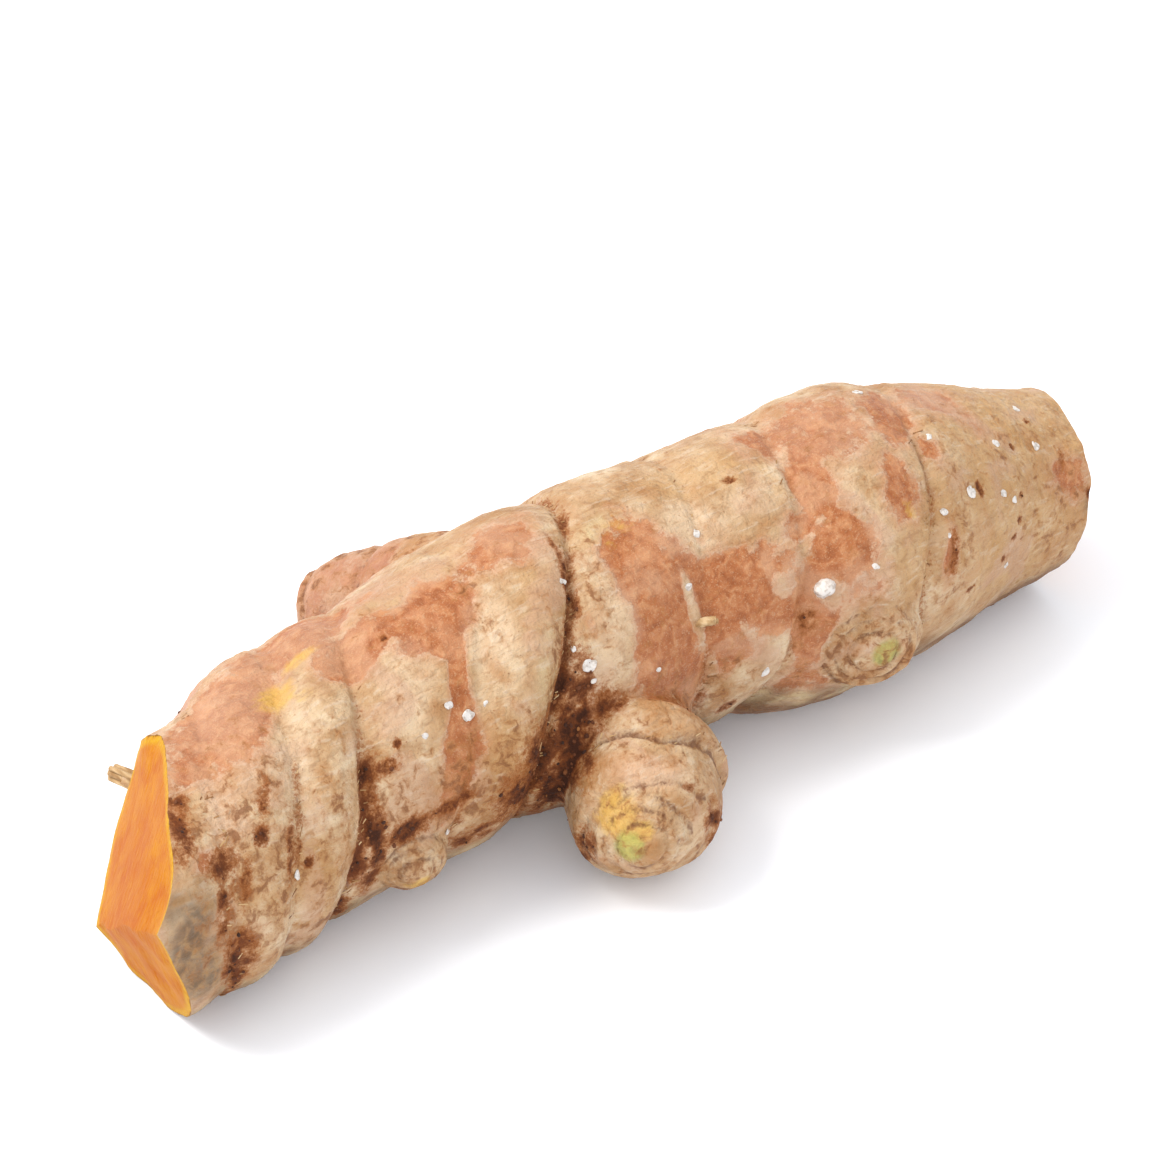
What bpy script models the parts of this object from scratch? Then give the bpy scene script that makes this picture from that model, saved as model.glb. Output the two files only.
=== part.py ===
"""A piece of fresh turmeric root: one grown body of swollen internodes, with a side finger, a stub,
bud eyes and a dried rootlet, trimmed by a knife at both ends. Sizes below are in millimetres."""

import math

import bmesh
import bpy
import numpy as np
from mathutils import Matrix, Vector, noise

MM = 0.001
NAME = "turmeric_root"

# The root lies along X, near side at -Y. Each station is where its axis runs and how thick it is.
STATIONS = [
    # x, y, z, radius
    (-70.0, -7.0, 10.2, 10.0),
    (-60.0, -5.7, 10.4, 10.3),
    (-50.0, -4.1, 10.9, 10.9),
    (-40.0, -1.6, 11.5, 11.5),
    (-30.0, -1.3, 12.3, 12.0),
    (-20.0, -1.2, 13.4, 12.6),
    (-10.0, -0.6, 13.5, 12.7),
    (0.0, -0.7, 13.3, 12.6),
    (10.0, -2.2, 13.2, 12.9),
    (18.0, -2.8, 13.1, 13.2),
    (26.0, -1.9, 12.6, 12.6),
    (34.0, -1.8, 11.3, 10.95),
    (42.0, -2.2, 9.9, 9.15),
    (50.0, -2.1, 8.8, 7.5),
    (58.0, -2.2, 8.1, 6.5),
]

# Each node ring is a leaf scar round the root. It leans, so its x is given on four sides.
RINGS = [
    # far, top, near, bottom, groove depth
    (-70.0, -70.0, -70.0, -70.0, 0.0),
    (-47.0, -51.5, -57.0, -52.5, 0.35),
    (-38.5, -42.0, -50.0, -46.5, 0.45),
    (-31.0, -34.4, -42.5, -41.5, 0.70),
    (-23.0, -22.5, -31.0, -31.5, 0.20),
    (-12.0, -10.8, -22.5, -20.5, 0.90),
    (2.5, 2.0, -4.8, -2.5, 0.35),
    (12.5, 12.5, 4.5, 4.5, 0.35),
    (27.5, 27.0, 19.2, 20.5, 0.55),
    (40.0, 40.5, 36.0, 37.0, 0.15),
    (58.0, 58.0, 58.0, 58.0, 0.0),
]

# How much each internode swells between its two rings, and where along it the swelling peaks.
SWELLINGS = [
    (0.2, 0.5),
    (0.5, 0.55),
    (0.9, 0.6),
    (0.3, 0.5),
    (0.5, 0.6),
    (0.5, 0.5),
    (0.4, 0.5),
    (0.7, 0.55),
    (0.3, 0.4),
    (0.1, 0.5),
]
INTERNODE_VARIETY = 2.5
GROOVE_WIDTH = 0.9
GROOVE_DEEPEST = math.radians(205.0)
GROOVE_FADE = 0.55
RING_WANDER = 0.9
ROWS_PER_INTERNODE = 7
ROW_CROWDING = 0.72
SIDES = 44
LUMP_SIZE = 11.0
LUMP_HEIGHT = 0.5
SHOOT_LUMP_SIZE = 5.5
SHOOT_LUMP_SHARE = 0.05

# Hollows in the skin, as beside the finger's root, and with a negative depth swells on it.
HOLLOWS = [
    # x along the root, angle round it in degrees, reach, depth
    (-17.5, 168.0, 4.5, 1.3),
    (2.0, 215.0, 4.0, 0.5),
    (-40.5, 52.0, 4.5, -0.9),
    (-62.0, 178.0, 4.5, 0.7),
    (-59.5, 138.0, 5.0, -0.6),
]

# A finger, stub or bud: the axis starts inside the root, bends by way of a point and ends at its tip.
# The outline is turned round that axis, as (along, radius).
SIDE_FINGER = {
    "axis": [(-8.2, -7.8, 10.8), (-13.0, -15.4, 6.8), (-19.8, -23.3, 6.8)],
    "sides": 30,
    "flatten": 0.95,
    "outline": [
        (0.0, 4.4), (5.2, 5.6), (6.4, 6.7), (7.2, 7.3), (8.2, 7.6), (9.4, 7.65), (10.2, 7.4),
        (10.7, 6.95), (11.3, 7.0), (12.6, 7.0), (14.2, 6.8), (15.8, 6.25), (17.2, 5.4), (18.3, 4.4),
        (18.6, 4.0), (19.2, 3.7), (19.8, 2.9), (20.0, 2.2), (20.1, 1.8), (20.6, 1.5), (20.9, 0.9),
        (21.0, 0.0),
    ],
}
BACK_STUB = {
    "axis": [(-12.0, 5.0, 14.6), (-17.4, 13.6, 13.0), (-21.8, 22.0, 9.9)],
    "sides": 24,
    "flatten": 0.94,
    "outline": [
        (0.0, 7.3), (6.0, 7.0), (10.0, 6.3), (11.4, 6.0), (11.9, 5.6), (12.5, 5.8),
        (15.0, 5.4), (17.0, 4.8), (18.6, 3.8), (19.3, 2.9), (19.5, 2.2), (20.0, 1.4),
        (20.2, 0.0),
    ],
}
BUD_OUTLINE = [
    # along and radius, as shares of the bud's height and radius
    (-4.0, 0.9), (-0.9, 1.2), (0.0, 1.1), (0.55, 0.98), (0.7, 0.86), (0.6, 0.78),
    (0.95, 0.64), (0.9, 0.5), (1.25, 0.36), (1.35, 0.2), (1.4, 0.0),
]
BUDS = [
    # x along the root, angle round it in degrees (0 far, 90 top, 180 near), angle it faces,
    # half width, height, lean to +X, flatten
    (13.0, 190.5, 181.0, 4.35, 1.3, -0.40, 0.94),
    (-36.3, 198.0, 186.0, 3.0, 1.6, -0.35, 0.90),
    (7.5, 8.0, 8.0, 3.3, 1.3, -0.25, 0.85),
    (33.5, 352.0, 352.0, 2.6, 1.2, -0.30, 0.9),
    (-33.0, 348.0, 348.0, 2.7, 1.2, 0.20, 0.9),
]
BUD_SIDES = 16

# A dried rootlet stands out behind the trimmed end.
ROOTLET_AXIS = [(-48.7, 3.6, 10.3), (-49.4, 7.8, 10.6), (-50.3, 11.7, 10.3)]
ROOTLET_OUTLINE = [
    # share of its length, radius
    (0.0, 1.15), (0.5, 0.9), (0.98, 0.75), (1.0, 0.0),
]
ROOTLET_FLATTEN = 0.8
ROOTLET_SIDES = 10

# Knife cuts: a point on each flat face and the way that face looks.
KNIFE_CUTS = {
    "knife_left_upper": ((-58.6, -4.0, 12.0), (-1.0, 0.64, 0.43)),
    "knife_left_lower": ((-62.1, -4.0, 12.0), (-1.0, 0.068, -0.357)),
    "knife_right": ((45.7, -2.0, 8.8), (1.0, -0.222, -0.198)),
    "resting_flats": ((0.0, 0.0, 0.0), (0.0, 0.0, -1.0)),
}
KNIFE_SIZE = 160.0

SKIN_COLOUR = (0.62, 0.42, 0.22, 1.0)
SKIN_ROUGHNESS = 0.55
SHARP_ANGLE = math.radians(40.0)


def clear_scene():
    for obj in list(bpy.data.objects):
        bpy.data.objects.remove(obj, do_unlink=True)


def new_collection(name):
    collection = bpy.data.collections.new(name)
    bpy.context.scene.collection.children.link(collection)
    return collection


def smooth_curve(xs, values, x):
    """A cubic through the stations, with the slope at each one taken from its neighbours."""
    slopes = np.gradient(values, xs)
    i = int(np.clip(np.searchsorted(xs, x) - 1, 0, len(xs) - 2))
    span = xs[i + 1] - xs[i]
    t = (x - xs[i]) / span
    return (
        (2 * t**3 - 3 * t**2 + 1) * values[i]
        + (t**3 - 2 * t**2 + t) * span * slopes[i]
        + (3 * t**2 - 2 * t**3) * values[i + 1]
        + (t**3 - t**2) * span * slopes[i + 1]
    )


def axis_at(x):
    """The axis point (y, z) and the plain radius at a place along the root."""
    xs = np.array([s[0] for s in STATIONS])
    return [smooth_curve(xs, np.array([s[k] for s in STATIONS]), x) for k in (1, 2, 3)]


def ring_x(ring, angle):
    """Where a leaning ring crosses this side of the root."""
    far, top, near, bottom, depth = ring
    wander = noise.noise(Vector((math.cos(angle), math.sin(angle), far)))
    return (
        (far + top + near + bottom) / 4
        + (far - near) / 2 * math.cos(angle)
        + (top - bottom) / 2 * math.sin(angle)
        + (far + near - top - bottom) / 4 * math.cos(2 * angle)
        + RING_WANDER * wander * (depth > 0)
    )


def relief_at(number, part, angle, gap_before, gap_after):
    """Height of the skin above the plain radius: a swelling between rings and a groove at each ring.
    Both wax and wane round the root; the grooves are deepest low on the near side."""
    swell, peak = SWELLINGS[number]
    hump = math.sin(math.pi * part ** (math.log(0.5) / math.log(peak)))
    uneven = 1.0 + noise.noise(Vector((math.cos(angle), math.sin(angle), number * INTERNODE_VARIETY)))
    height = swell * uneven * (hump - 0.5)
    fade = 1.0 - GROOVE_FADE * (0.5 - 0.5 * math.cos(angle - GROOVE_DEEPEST))
    for gap, ring in ((gap_before, RINGS[number]), (gap_after, RINGS[number + 1])):
        height -= ring[4] * fade * math.exp(-((gap / GROOVE_WIDTH) ** 2))
    return height


def hollow_at(x, angle, radius):
    """How far the skin sinks here into the hollows."""
    sunk = 0.0
    for hollow_x, degrees, reach, depth in HOLLOWS:
        round_it = radius * math.remainder(angle - math.radians(degrees), 2 * math.pi)
        sunk += depth * math.exp(-((x - hollow_x) ** 2 + round_it**2) / reach**2)
    return sunk


def body_point(place, angle, share):
    """A point of the root's body. place counts rings from the left end; share is 1 on the skin."""
    number = min(int(place), len(RINGS) - 2)
    part = place - number
    before = ring_x(RINGS[number], angle)
    after = ring_x(RINGS[number + 1], angle)
    x = before + (after - before) * part
    y, z, radius = axis_at(x)
    radius += relief_at(number, part, angle, x - before, after - x)
    radius -= hollow_at(x, angle, radius)
    out = Vector((0.0, math.cos(angle), math.sin(angle)))
    lumps = LUMP_HEIGHT * noise.noise((Vector((x, y, z)) + out * radius) / LUMP_SIZE)
    return (Vector((x, y, z)) + out * (radius + lumps) * share) * MM


def row_places():
    """Ring counts of the rows, closer together beside the rings, where the grooves are."""
    steps = np.arange(ROWS_PER_INTERNODE) / ROWS_PER_INTERNODE
    crowded = steps - ROW_CROWDING * np.sin(2 * math.pi * steps) / (2 * math.pi)
    places = [n + float(c) for n in range(len(RINGS) - 1) for c in crowded]
    return [*places, float(len(RINGS) - 1)]


def turned_mesh(name, outline, sides):
    """A closed body turned round the X axis from (along, radius) points, in plain units."""
    mesh = bpy.data.meshes.new(name)
    points = [(along, 0.0, radius) for along, radius in outline]
    mesh.from_pydata(points, [(i, i + 1) for i in range(len(points) - 1)], [])
    profile = bpy.data.objects.new(name + "_profile", mesh)
    bpy.context.scene.collection.objects.link(profile)
    screw = profile.modifiers.new("turn", "SCREW")
    screw.axis = "X"
    screw.steps = screw.render_steps = sides
    screw.use_merge_vertices = True
    screw.merge_threshold = 0.0001
    graph = bpy.context.evaluated_depsgraph_get()
    turned = bpy.data.meshes.new_from_object(profile.evaluated_get(graph))
    bpy.data.objects.remove(profile)
    return turned


def face_outwards(mesh):
    bm = bmesh.new()
    bm.from_mesh(mesh)
    bmesh.ops.recalc_face_normals(bm, faces=bm.faces)
    bm.to_mesh(mesh)
    bm.free()


def make_object(name, mesh, collection):
    obj = bpy.data.objects.new(name, mesh)
    collection.objects.link(obj)
    return obj


def grow_body(collection):
    """The main axis: a turned tube whose rows are then laid along the leaning rings."""
    places = row_places()
    outline = [(places[0], 0.0), *[(place, 1.0) for place in places], (places[-1], 0.0)]
    mesh = turned_mesh(NAME, outline, SIDES)
    for vertex in mesh.vertices:
        share = math.hypot(vertex.co.y, vertex.co.z)
        angle = math.atan2(vertex.co.z, vertex.co.y)
        vertex.co = body_point(vertex.co.x, angle, share)
    face_outwards(mesh)
    return make_object(NAME, mesh, collection)


def grow_side_shoot(name, axis, outline, sides, flatten, collection):
    """A turned shoot laid along its bent axis, a little flattened and lumpy."""
    mesh = turned_mesh(name, [(outline[0][0], 0.0), *outline], sides)
    start, way_point, end = (Vector(point) for point in axis)
    length = outline[-1][0]
    for vertex in mesh.vertices:
        t = vertex.co.x / length
        centre = (1 - t) ** 2 * start + 2 * t * (1 - t) * way_point + t**2 * end
        way = (1 - t) * (way_point - start) + t * (end - way_point)
        turn = Vector((1.0, 0.0, 0.0)).rotation_difference(way)
        out = turn @ Vector((0.0, vertex.co.y, vertex.co.z * flatten))
        lump = SHOOT_LUMP_SHARE * noise.noise((centre + out) / SHOOT_LUMP_SIZE)
        vertex.co = (centre + out * (1 + lump)) * MM
    face_outwards(mesh)
    return make_object(name, mesh, collection)


def way_out(degrees):
    """The way out of the root at an angle round it."""
    angle = math.radians(degrees)
    return Vector((0.0, math.cos(angle), math.sin(angle)))


def grow_bud(number, bud, collection):
    x, place, facing, radius, height, lean, flatten = bud
    y, z, root_radius = axis_at(x)
    foot = Vector((x, y, z)) + way_out(place) * root_radius
    way = (way_out(facing) + Vector((lean, 0.0, 0.0))).normalized()
    root_end = BUD_OUTLINE[0][0]
    outline = [((along - root_end) * height, share * radius) for along, share in BUD_OUTLINE]
    start = foot + way * root_end * height
    tip = start + way * outline[-1][0]
    axis = [start, (start + tip) / 2, tip]
    return grow_side_shoot(f"bud_{number}", axis, outline, BUD_SIDES, flatten, collection)


def grow_rootlet(collection):
    length = (Vector(ROOTLET_AXIS[2]) - Vector(ROOTLET_AXIS[0])).length
    outline = [(share * length, radius) for share, radius in ROOTLET_OUTLINE]
    return grow_side_shoot(
        "rootlet", ROOTLET_AXIS, outline, ROOTLET_SIDES, ROOTLET_FLATTEN, collection
    )


def apply_boolean(obj, operation, operand=None, collection=None):
    """One Boolean, applied at once, so the next step works on its result."""
    boolean = obj.modifiers.new(operation, "BOOLEAN")
    boolean.operation = operation
    boolean.solver = "EXACT"
    if collection:
        boolean.operand_type = "COLLECTION"
        boolean.collection = collection
    else:
        boolean.object = operand
    graph = bpy.context.evaluated_depsgraph_get()
    mesh = bpy.data.meshes.new_from_object(obj.evaluated_get(graph))
    obj.modifiers.clear()
    obj.data = mesh


def trim(obj, knife_name, collection):
    """Takes off all that lies beyond one flat face, with a block as the knife."""
    point, normal = KNIFE_CUTS[knife_name]
    mesh = bpy.data.meshes.new(knife_name)
    bm = bmesh.new()
    bmesh.ops.create_cube(bm, size=KNIFE_SIZE * MM)
    bm.to_mesh(mesh)
    bm.free()
    knife = make_object(knife_name, mesh, collection)
    knife.hide_render = True
    knife.display_type = "WIRE"
    way = Vector(normal).normalized()
    centre = (Vector(point) + way * KNIFE_SIZE / 2) * MM
    turn = Vector((0.0, 0.0, 1.0)).rotation_difference(way).to_matrix().to_4x4()
    knife.matrix_world = Matrix.Translation(centre) @ turn
    bpy.context.view_layer.update()
    apply_boolean(obj, "DIFFERENCE", operand=knife)


def centre_over_base(obj):
    """Puts the origin under the middle of the root, on the surface it lies on."""
    places = np.array([vertex.co for vertex in obj.data.vertices])
    low = places.min(axis=0)
    high = places.max(axis=0)
    middle = (low + high) / 2
    obj.data.transform(Matrix.Translation((-middle[0], -middle[1], -low[2])))


def skin_material():
    material = bpy.data.materials.new("turmeric_skin")
    material.use_nodes = True
    shader = material.node_tree.nodes["Principled BSDF"]
    shader.inputs["Base Color"].default_value = SKIN_COLOUR
    shader.inputs["Roughness"].default_value = SKIN_ROUGHNESS
    shader.inputs["Metallic"].default_value = 0.0
    return material


def main():
    clear_scene()
    parts = new_collection("turmeric_root_parts")
    shoots = new_collection("side_shoots")
    cutters = new_collection("knife_blocks")

    root = grow_body(parts)
    for name, shoot in (("side_finger", SIDE_FINGER), ("back_stub", BACK_STUB)):
        grow_side_shoot(name, collection=shoots, **shoot)
    for number, bud in enumerate(BUDS):
        grow_bud(number, bud, shoots)
    apply_boolean(root, "UNION", collection=shoots)
    for knife_name in KNIFE_CUTS:
        trim(root, knife_name, cutters)
    for shoot in list(shoots.objects):
        bpy.data.objects.remove(shoot)
    rootlet = grow_rootlet(shoots)
    apply_boolean(root, "UNION", operand=rootlet)
    bpy.data.objects.remove(rootlet)

    centre_over_base(root)
    root.data.materials.clear()
    root.data.materials.append(skin_material())
    root.data.shade_smooth()
    root.data.set_sharp_from_angle(angle=SHARP_ANGLE)


main()
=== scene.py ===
"""A fresh turmeric root, trimmed by a knife at both ends, lying on a pale table."""

import math

import bmesh
import bpy
import numpy as np
from mathutils import Matrix, Vector, bvhtree, kdtree, noise


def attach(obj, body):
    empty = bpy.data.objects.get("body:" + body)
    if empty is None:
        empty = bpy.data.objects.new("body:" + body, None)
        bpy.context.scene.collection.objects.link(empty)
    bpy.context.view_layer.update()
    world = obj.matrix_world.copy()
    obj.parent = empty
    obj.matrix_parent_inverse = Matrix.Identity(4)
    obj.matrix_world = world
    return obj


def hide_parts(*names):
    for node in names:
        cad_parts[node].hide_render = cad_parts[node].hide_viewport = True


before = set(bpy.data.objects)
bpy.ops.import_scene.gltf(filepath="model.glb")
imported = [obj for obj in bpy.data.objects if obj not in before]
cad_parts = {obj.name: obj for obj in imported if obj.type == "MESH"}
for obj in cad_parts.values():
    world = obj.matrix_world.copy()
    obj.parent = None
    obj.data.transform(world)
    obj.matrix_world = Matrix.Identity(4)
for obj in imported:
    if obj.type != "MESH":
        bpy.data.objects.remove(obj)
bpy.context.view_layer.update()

# The rhizome. The real one is a swollen underground stem that grew in one piece: short internodes
# between leaf-scar rings, a stubby side finger, a stub at the back and small bud eyes. Its mesh is the
# CAD solid remeshed finely and smoothed, with the rings, lumps and papery skin raised on it by formula.
MM = 0.001
GROWTH_ZERO = np.array([8.051, 0.770, 0.0])
VOXEL = 0.372
SMOOTHINGS = 14
SAME_POINT = 0.001
# Points this near a knife's plane are first moved out by the spare, so that the blade cuts them clean.
ON_A_CUT = 0.03
CUT_SPARE = 4.0

# The growth axis, in millimetres from its zero: x, y, z and the plain radius there.
LYING = np.array([
    (-70.0, -7.0, 10.2, 10.0),
    (-60.0, -5.7, 10.4, 10.3),
    (-50.0, -4.1, 10.9, 10.9),
    (-40.0, -1.6, 11.5, 11.5),
    (-30.0, -1.3, 12.3, 12.0),
    (-20.0, -1.2, 13.4, 12.6),
    (-10.0, -0.6, 13.5, 12.7),
    (0.0, -0.7, 13.3, 12.6),
    (10.0, -2.2, 13.2, 12.9),
    (18.0, -2.8, 13.1, 13.2),
    (26.0, -1.9, 12.6, 12.6),
    (34.0, -1.8, 11.3, 10.95),
    (42.0, -2.2, 9.9, 9.15),
    (50.0, -2.1, 8.8, 7.5),
])
MEAN_RADIUS = 12.0

# The knife's faces: a point on each and the way it looks.
KNIFE_CUTS = {
    "upper_left": ((-58.6, -4.0, 12.0), (-1.0, 0.64, 0.43)),
    "lower_left": ((-62.1, -4.0, 12.0), (-1.0, 0.068, -0.357)),
    "right": ((45.7, -2.0, 8.8), (1.0, -0.222, -0.198)),
}

# The leaf-scar rings: where each crosses the far side, the top, the near side and the underside, how
# deep it is, and how much soil it holds at the angles in RING_SIDES.
RING_SIDES = (60, 90, 112, 130, 150, 170, 190, 215, 270, 330)
RINGS = [
    ((-47.0, -51.5, -57.0, -52.5), -0.30, (0.1, 0.1, 0.2, 0.2, 0.3, 0.5, 0.7, 0.6, 0.5, 0.4)),
    ((-38.5, -42.0, -50.0, -46.5), -0.25, (0.1, 0.0, 0.1, 0.4, 0.5, 0.3, 0.2, 0.4, 0.5, 0.3)),
    ((-31.0, -34.4, -42.5, -41.5), 0.10, (0.1, 0.1, 0.2, 0.3, 0.7, 0.9, 1.0, 0.8, 0.6, 0.4)),
    ((-23.0, -22.5, -31.0, -31.5), 0.10, (0.0, 0.0, 0.0, 0.0, 0.1, 0.3, 0.4, 0.5, 0.3, 0.2)),
    ((-12.0, -10.8, -22.5, -20.5), 0.45, (0.4, 0.5, 0.5, 0.8, 0.9, 1.0, 1.0, 1.0, 0.7, 0.5)),
    ((2.5, 2.0, -4.8, -2.5), 0.20, (0.1, 0.2, 0.2, 0.1, 0.1, 0.35, 0.35, 0.3, 0.4, 0.3)),
    ((12.5, 12.5, 4.5, 4.5), 0.22, (0.1, 0.2, 0.3, 0.15, 0.15, 0.4, 0.3, 0.3, 0.4, 0.3)),
    ((27.5, 27.0, 19.2, 20.5), 0.32, (0.1, 0.1, 0.35, 0.5, 0.3, 0.5, 0.4, 0.4, 0.5, 0.4)),
    ((40.0, 40.5, 36.0, 37.0), 0.08, (0.1, 0.1, 0.1, 0.1, 0.1, 0.1, 0.1, 0.2, 0.3, 0.2)),
]
RING_WANDER = 0.9

# The skin's own map: patches as x, degrees round (0 far, 90 top, 180 near), half length, half width
# round the root in millimetres, strength, and how far they lean along the root for each millimetre round.
BARE = [
    (-47.6, 85, 6.4, 5.2, 0.95, -0.3), (-52.8, 97, 2.2, 1.7, 0.8, 0.0), (-38.0, 70, 8.0, 2.8, 0.85, 0.0),
    (-33.6, 97, 5.0, 2.5, 1.0, -0.3), (-27.5, 106, 5.6, 3.8, 1.05, -0.5), (-22.5, 96, 3.6, 2.2, 0.6, -0.3),
    (-32.0, 111, 1.4, 0.6, 0.8, 0.0), (-27.8, 127, 1.2, 4.0, 1.1, -0.55), (-30.4, 157, 2.0, 5.0, 1.0, -0.4),
    (-17.5, 92, 4.0, 3.4, 0.7, -0.3), (-57.0, 136, 1.8, 1.0, 0.7, -0.3), (-7.6, 123, 4.0, 3.8, 1.0, -0.5),
    (-14.6, 140, 0.6, 1.2, 0.9, 0.0), (-7.6, 155, 3.7, 6.4, 1.0, -0.3), (-6.4, 178, 2.4, 3.0, 0.9, 0.0),
    (0.4, 146, 5.8, 3.8, 1.0, -0.2), (3.8, 156, 3.8, 3.6, 1.0, 0.0), (-3.4, 131, 2.2, 3.0, 0.9, 0.0),
    (-1.9, 161, 1.8, 3.2, 1.0, 0.0),
    (-1.3, 172, 1.8, 2.0, 1.0, 0.0), (-0.6, 124, 0.7, 1.3, 0.9, 0.0), (8.6, 131, 2.2, 1.6, 0.75, 0.0),
    (12.0, 117, 1.9, 3.2, 1.1, -0.2), (11.6, 146, 2.8, 3.1, 1.1, -0.2), (12.6, 163, 2.6, 1.6, 0.6, 0.0),
    (7.4, 174, 2.7, 5.0, 0.9, 0.0), (8.6, 158, 1.8, 2.6, 0.9, 0.0), (19.4, 133, 2.1, 3.0, 0.75, -0.3),
    (17.0, 93, 6.0, 4.2, 0.70, -0.2),
    (24.4, 102, 2.8, 3.6, 0.85, -0.3), (25.4, 122, 1.3, 1.3, 0.6, 0.0), (12.0, 88, 3.2, 3.2, 0.6, 0.0),
    (31.0, 93, 3.4, 3.0, 0.68, 0.0), (42.2, 149, 2.4, 3.0, 0.62, 0.0), (23.0, 166, 0.9, 2.2, 0.7, -0.3),
    (8.0, 201, 4.0, 2.0, 0.6, 0.0), (-42.0, 186, 1.5, 3.0, 0.4, -0.4), (33.5, 112, 1.2, 2.0, 0.45, 0.0),
]
PAPER = [
    (-32.6, 125, 3.2, 4.2, 1.0, -0.35), (-22.4, 131, 4.2, 5.4, 1.0, -0.4), (-43.8, 132, 3.6, 6.5, 1.0, -0.4),
    (-54.0, 130, 2.2, 4.0, 0.9, 0.0), (-13.6, 147, 2.0, 5.0, 1.0, -0.35), (1.8, 114, 5.2, 3.6, 1.0, 0.0),
    (9.3, 114, 0.7, 2.2, 1.0, 0.0), (3.4, 184, 1.6, 1.8, 1.0, 0.0), (-0.2, 187, 1.2, 1.5, 0.9, 0.0),
    (-4.0, 141, 0.5, 1.6, 1.0, 0.0), (4.8, 153, 1.2, 1.3, 0.9, 0.0), (14.6, 135, 0.8, 0.9, 0.9, 0.0),
    (-4.1, 150, 0.6, 1.6, 0.9, 0.0), (8.8, 160, 0.9, 1.6, 0.7, 0.0), (-31.5, 113, 0.8, 0.5, 0.5, 0.0),
]
PALE = [
    (-46.0, 82, 7.0, 5.0, 0.75, -0.3), (-36.0, 80, 6.0, 3.0, 0.6, 0.0),
    (17.0, 96, 6.0, 4.4, 0.65, -0.2), (31.0, 93, 3.4, 3.0, 0.6, 0.0),
    (-13.4, 146, 2.0, 5.4, 1.0, -0.35), (-33.0, 124, 2.8, 4.0, 0.8, -0.35), (-23.6, 121, 2.4, 3.6, 0.9, -0.3),
    (-0.6, 118, 3.4, 2.8, 1.0, 0.0), (5.5, 117, 3.4, 2.6, 0.5, 0.0), (-45.6, 122, 2.6, 4.2, 0.85, -0.3),
    (-53.8, 126, 1.9, 3.4, 0.75, 0.0), (9.3, 114, 0.8, 2.4, 0.9, 0.0), (14.8, 130, 1.0, 4.6, 0.6, 0.0),
    (-4.0, 145, 0.6, 2.4, 1.0, 0.0), (12.8, 163, 2.6, 1.8, 0.6, 0.0), (3.4, 184, 1.6, 2.0, 0.5, 0.0),
    (-17.6, 146, 1.4, 3.6, 0.5, -0.4), (27.0, 120, 1.2, 2.4, 0.5, 0.0), (-11.0, 140, 1.2, 2.2, 0.8, 0.0),
]
OCHRE = [
    (37.0, 150, 14.0, 24.0, 0.9, 0.0), (18.6, 157, 3.4, 5.5, 0.8, -0.2), (-26.5, 168, 2.6, 3.0, 0.8, 0.0),
    (-47.0, 172, 4.0, 6.0, 0.6, 0.0), (-18.6, 120, 1.8, 5.0, 0.6, -0.3), (3.5, 96, 6.0, 2.6, 0.8, 0.0),
    (-25.0, 84, 6.0, 2.6, 0.7, 0.0), (-53.5, 160, 3.0, 5.0, 0.5, 0.0), (24.0, 152, 3.0, 8.0, 0.6, 0.0),
    (9.0, 108, 0.8, 3.0, 0.7, 0.0),
]
CREAM = [
    (-50.0, 222, 16.0, 3.2, 1.0, 0.0), (-25.0, 222, 10.0, 2.2, 0.9, 0.0), (8.0, 215, 14.0, 2.4, 0.8, 0.0),
    (-26.0, 88, 5.0, 1.6, 0.6, 0.0), (-20.0, 145, 2.6, 5.0, 0.6, -0.4), (-8.0, 106, 3.4, 1.8, 0.8, 0.0),
]
YELLOW = [
    (-42.6, 92, 2.4, 1.9, 0.95, 0.0), (-40.8, 103, 1.4, 1.0, 0.7, 0.0), (-38.6, 85, 2.2, 0.9, 0.85, 0.0),
    (19.5, 141, 0.9, 1.0, 0.7, 0.0), (-36.6, 201, 1.3, 0.9, 1.1, 0.0), (-9.0, 114, 1.1, 0.8, 0.5, 0.0),
    (-7.0, 106, 3.6, 1.6, 0.5, 0.0),
]
BRUISE = [
    (-60.8, 166, 2.6, 5.0, 1.0, -0.3), (-59.6, 188, 2.6, 3.8, 1.0, 0.0), (-57.6, 172, 2.0, 1.2, 0.7, 0.0),
    (44.6, 171, 1.5, 1.7, 0.8, 0.0), (-57.0, 199, 1.8, 1.4, 0.6, 0.0), (-61.6, 150, 1.6, 2.4, 0.7, 0.0),
]
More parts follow.
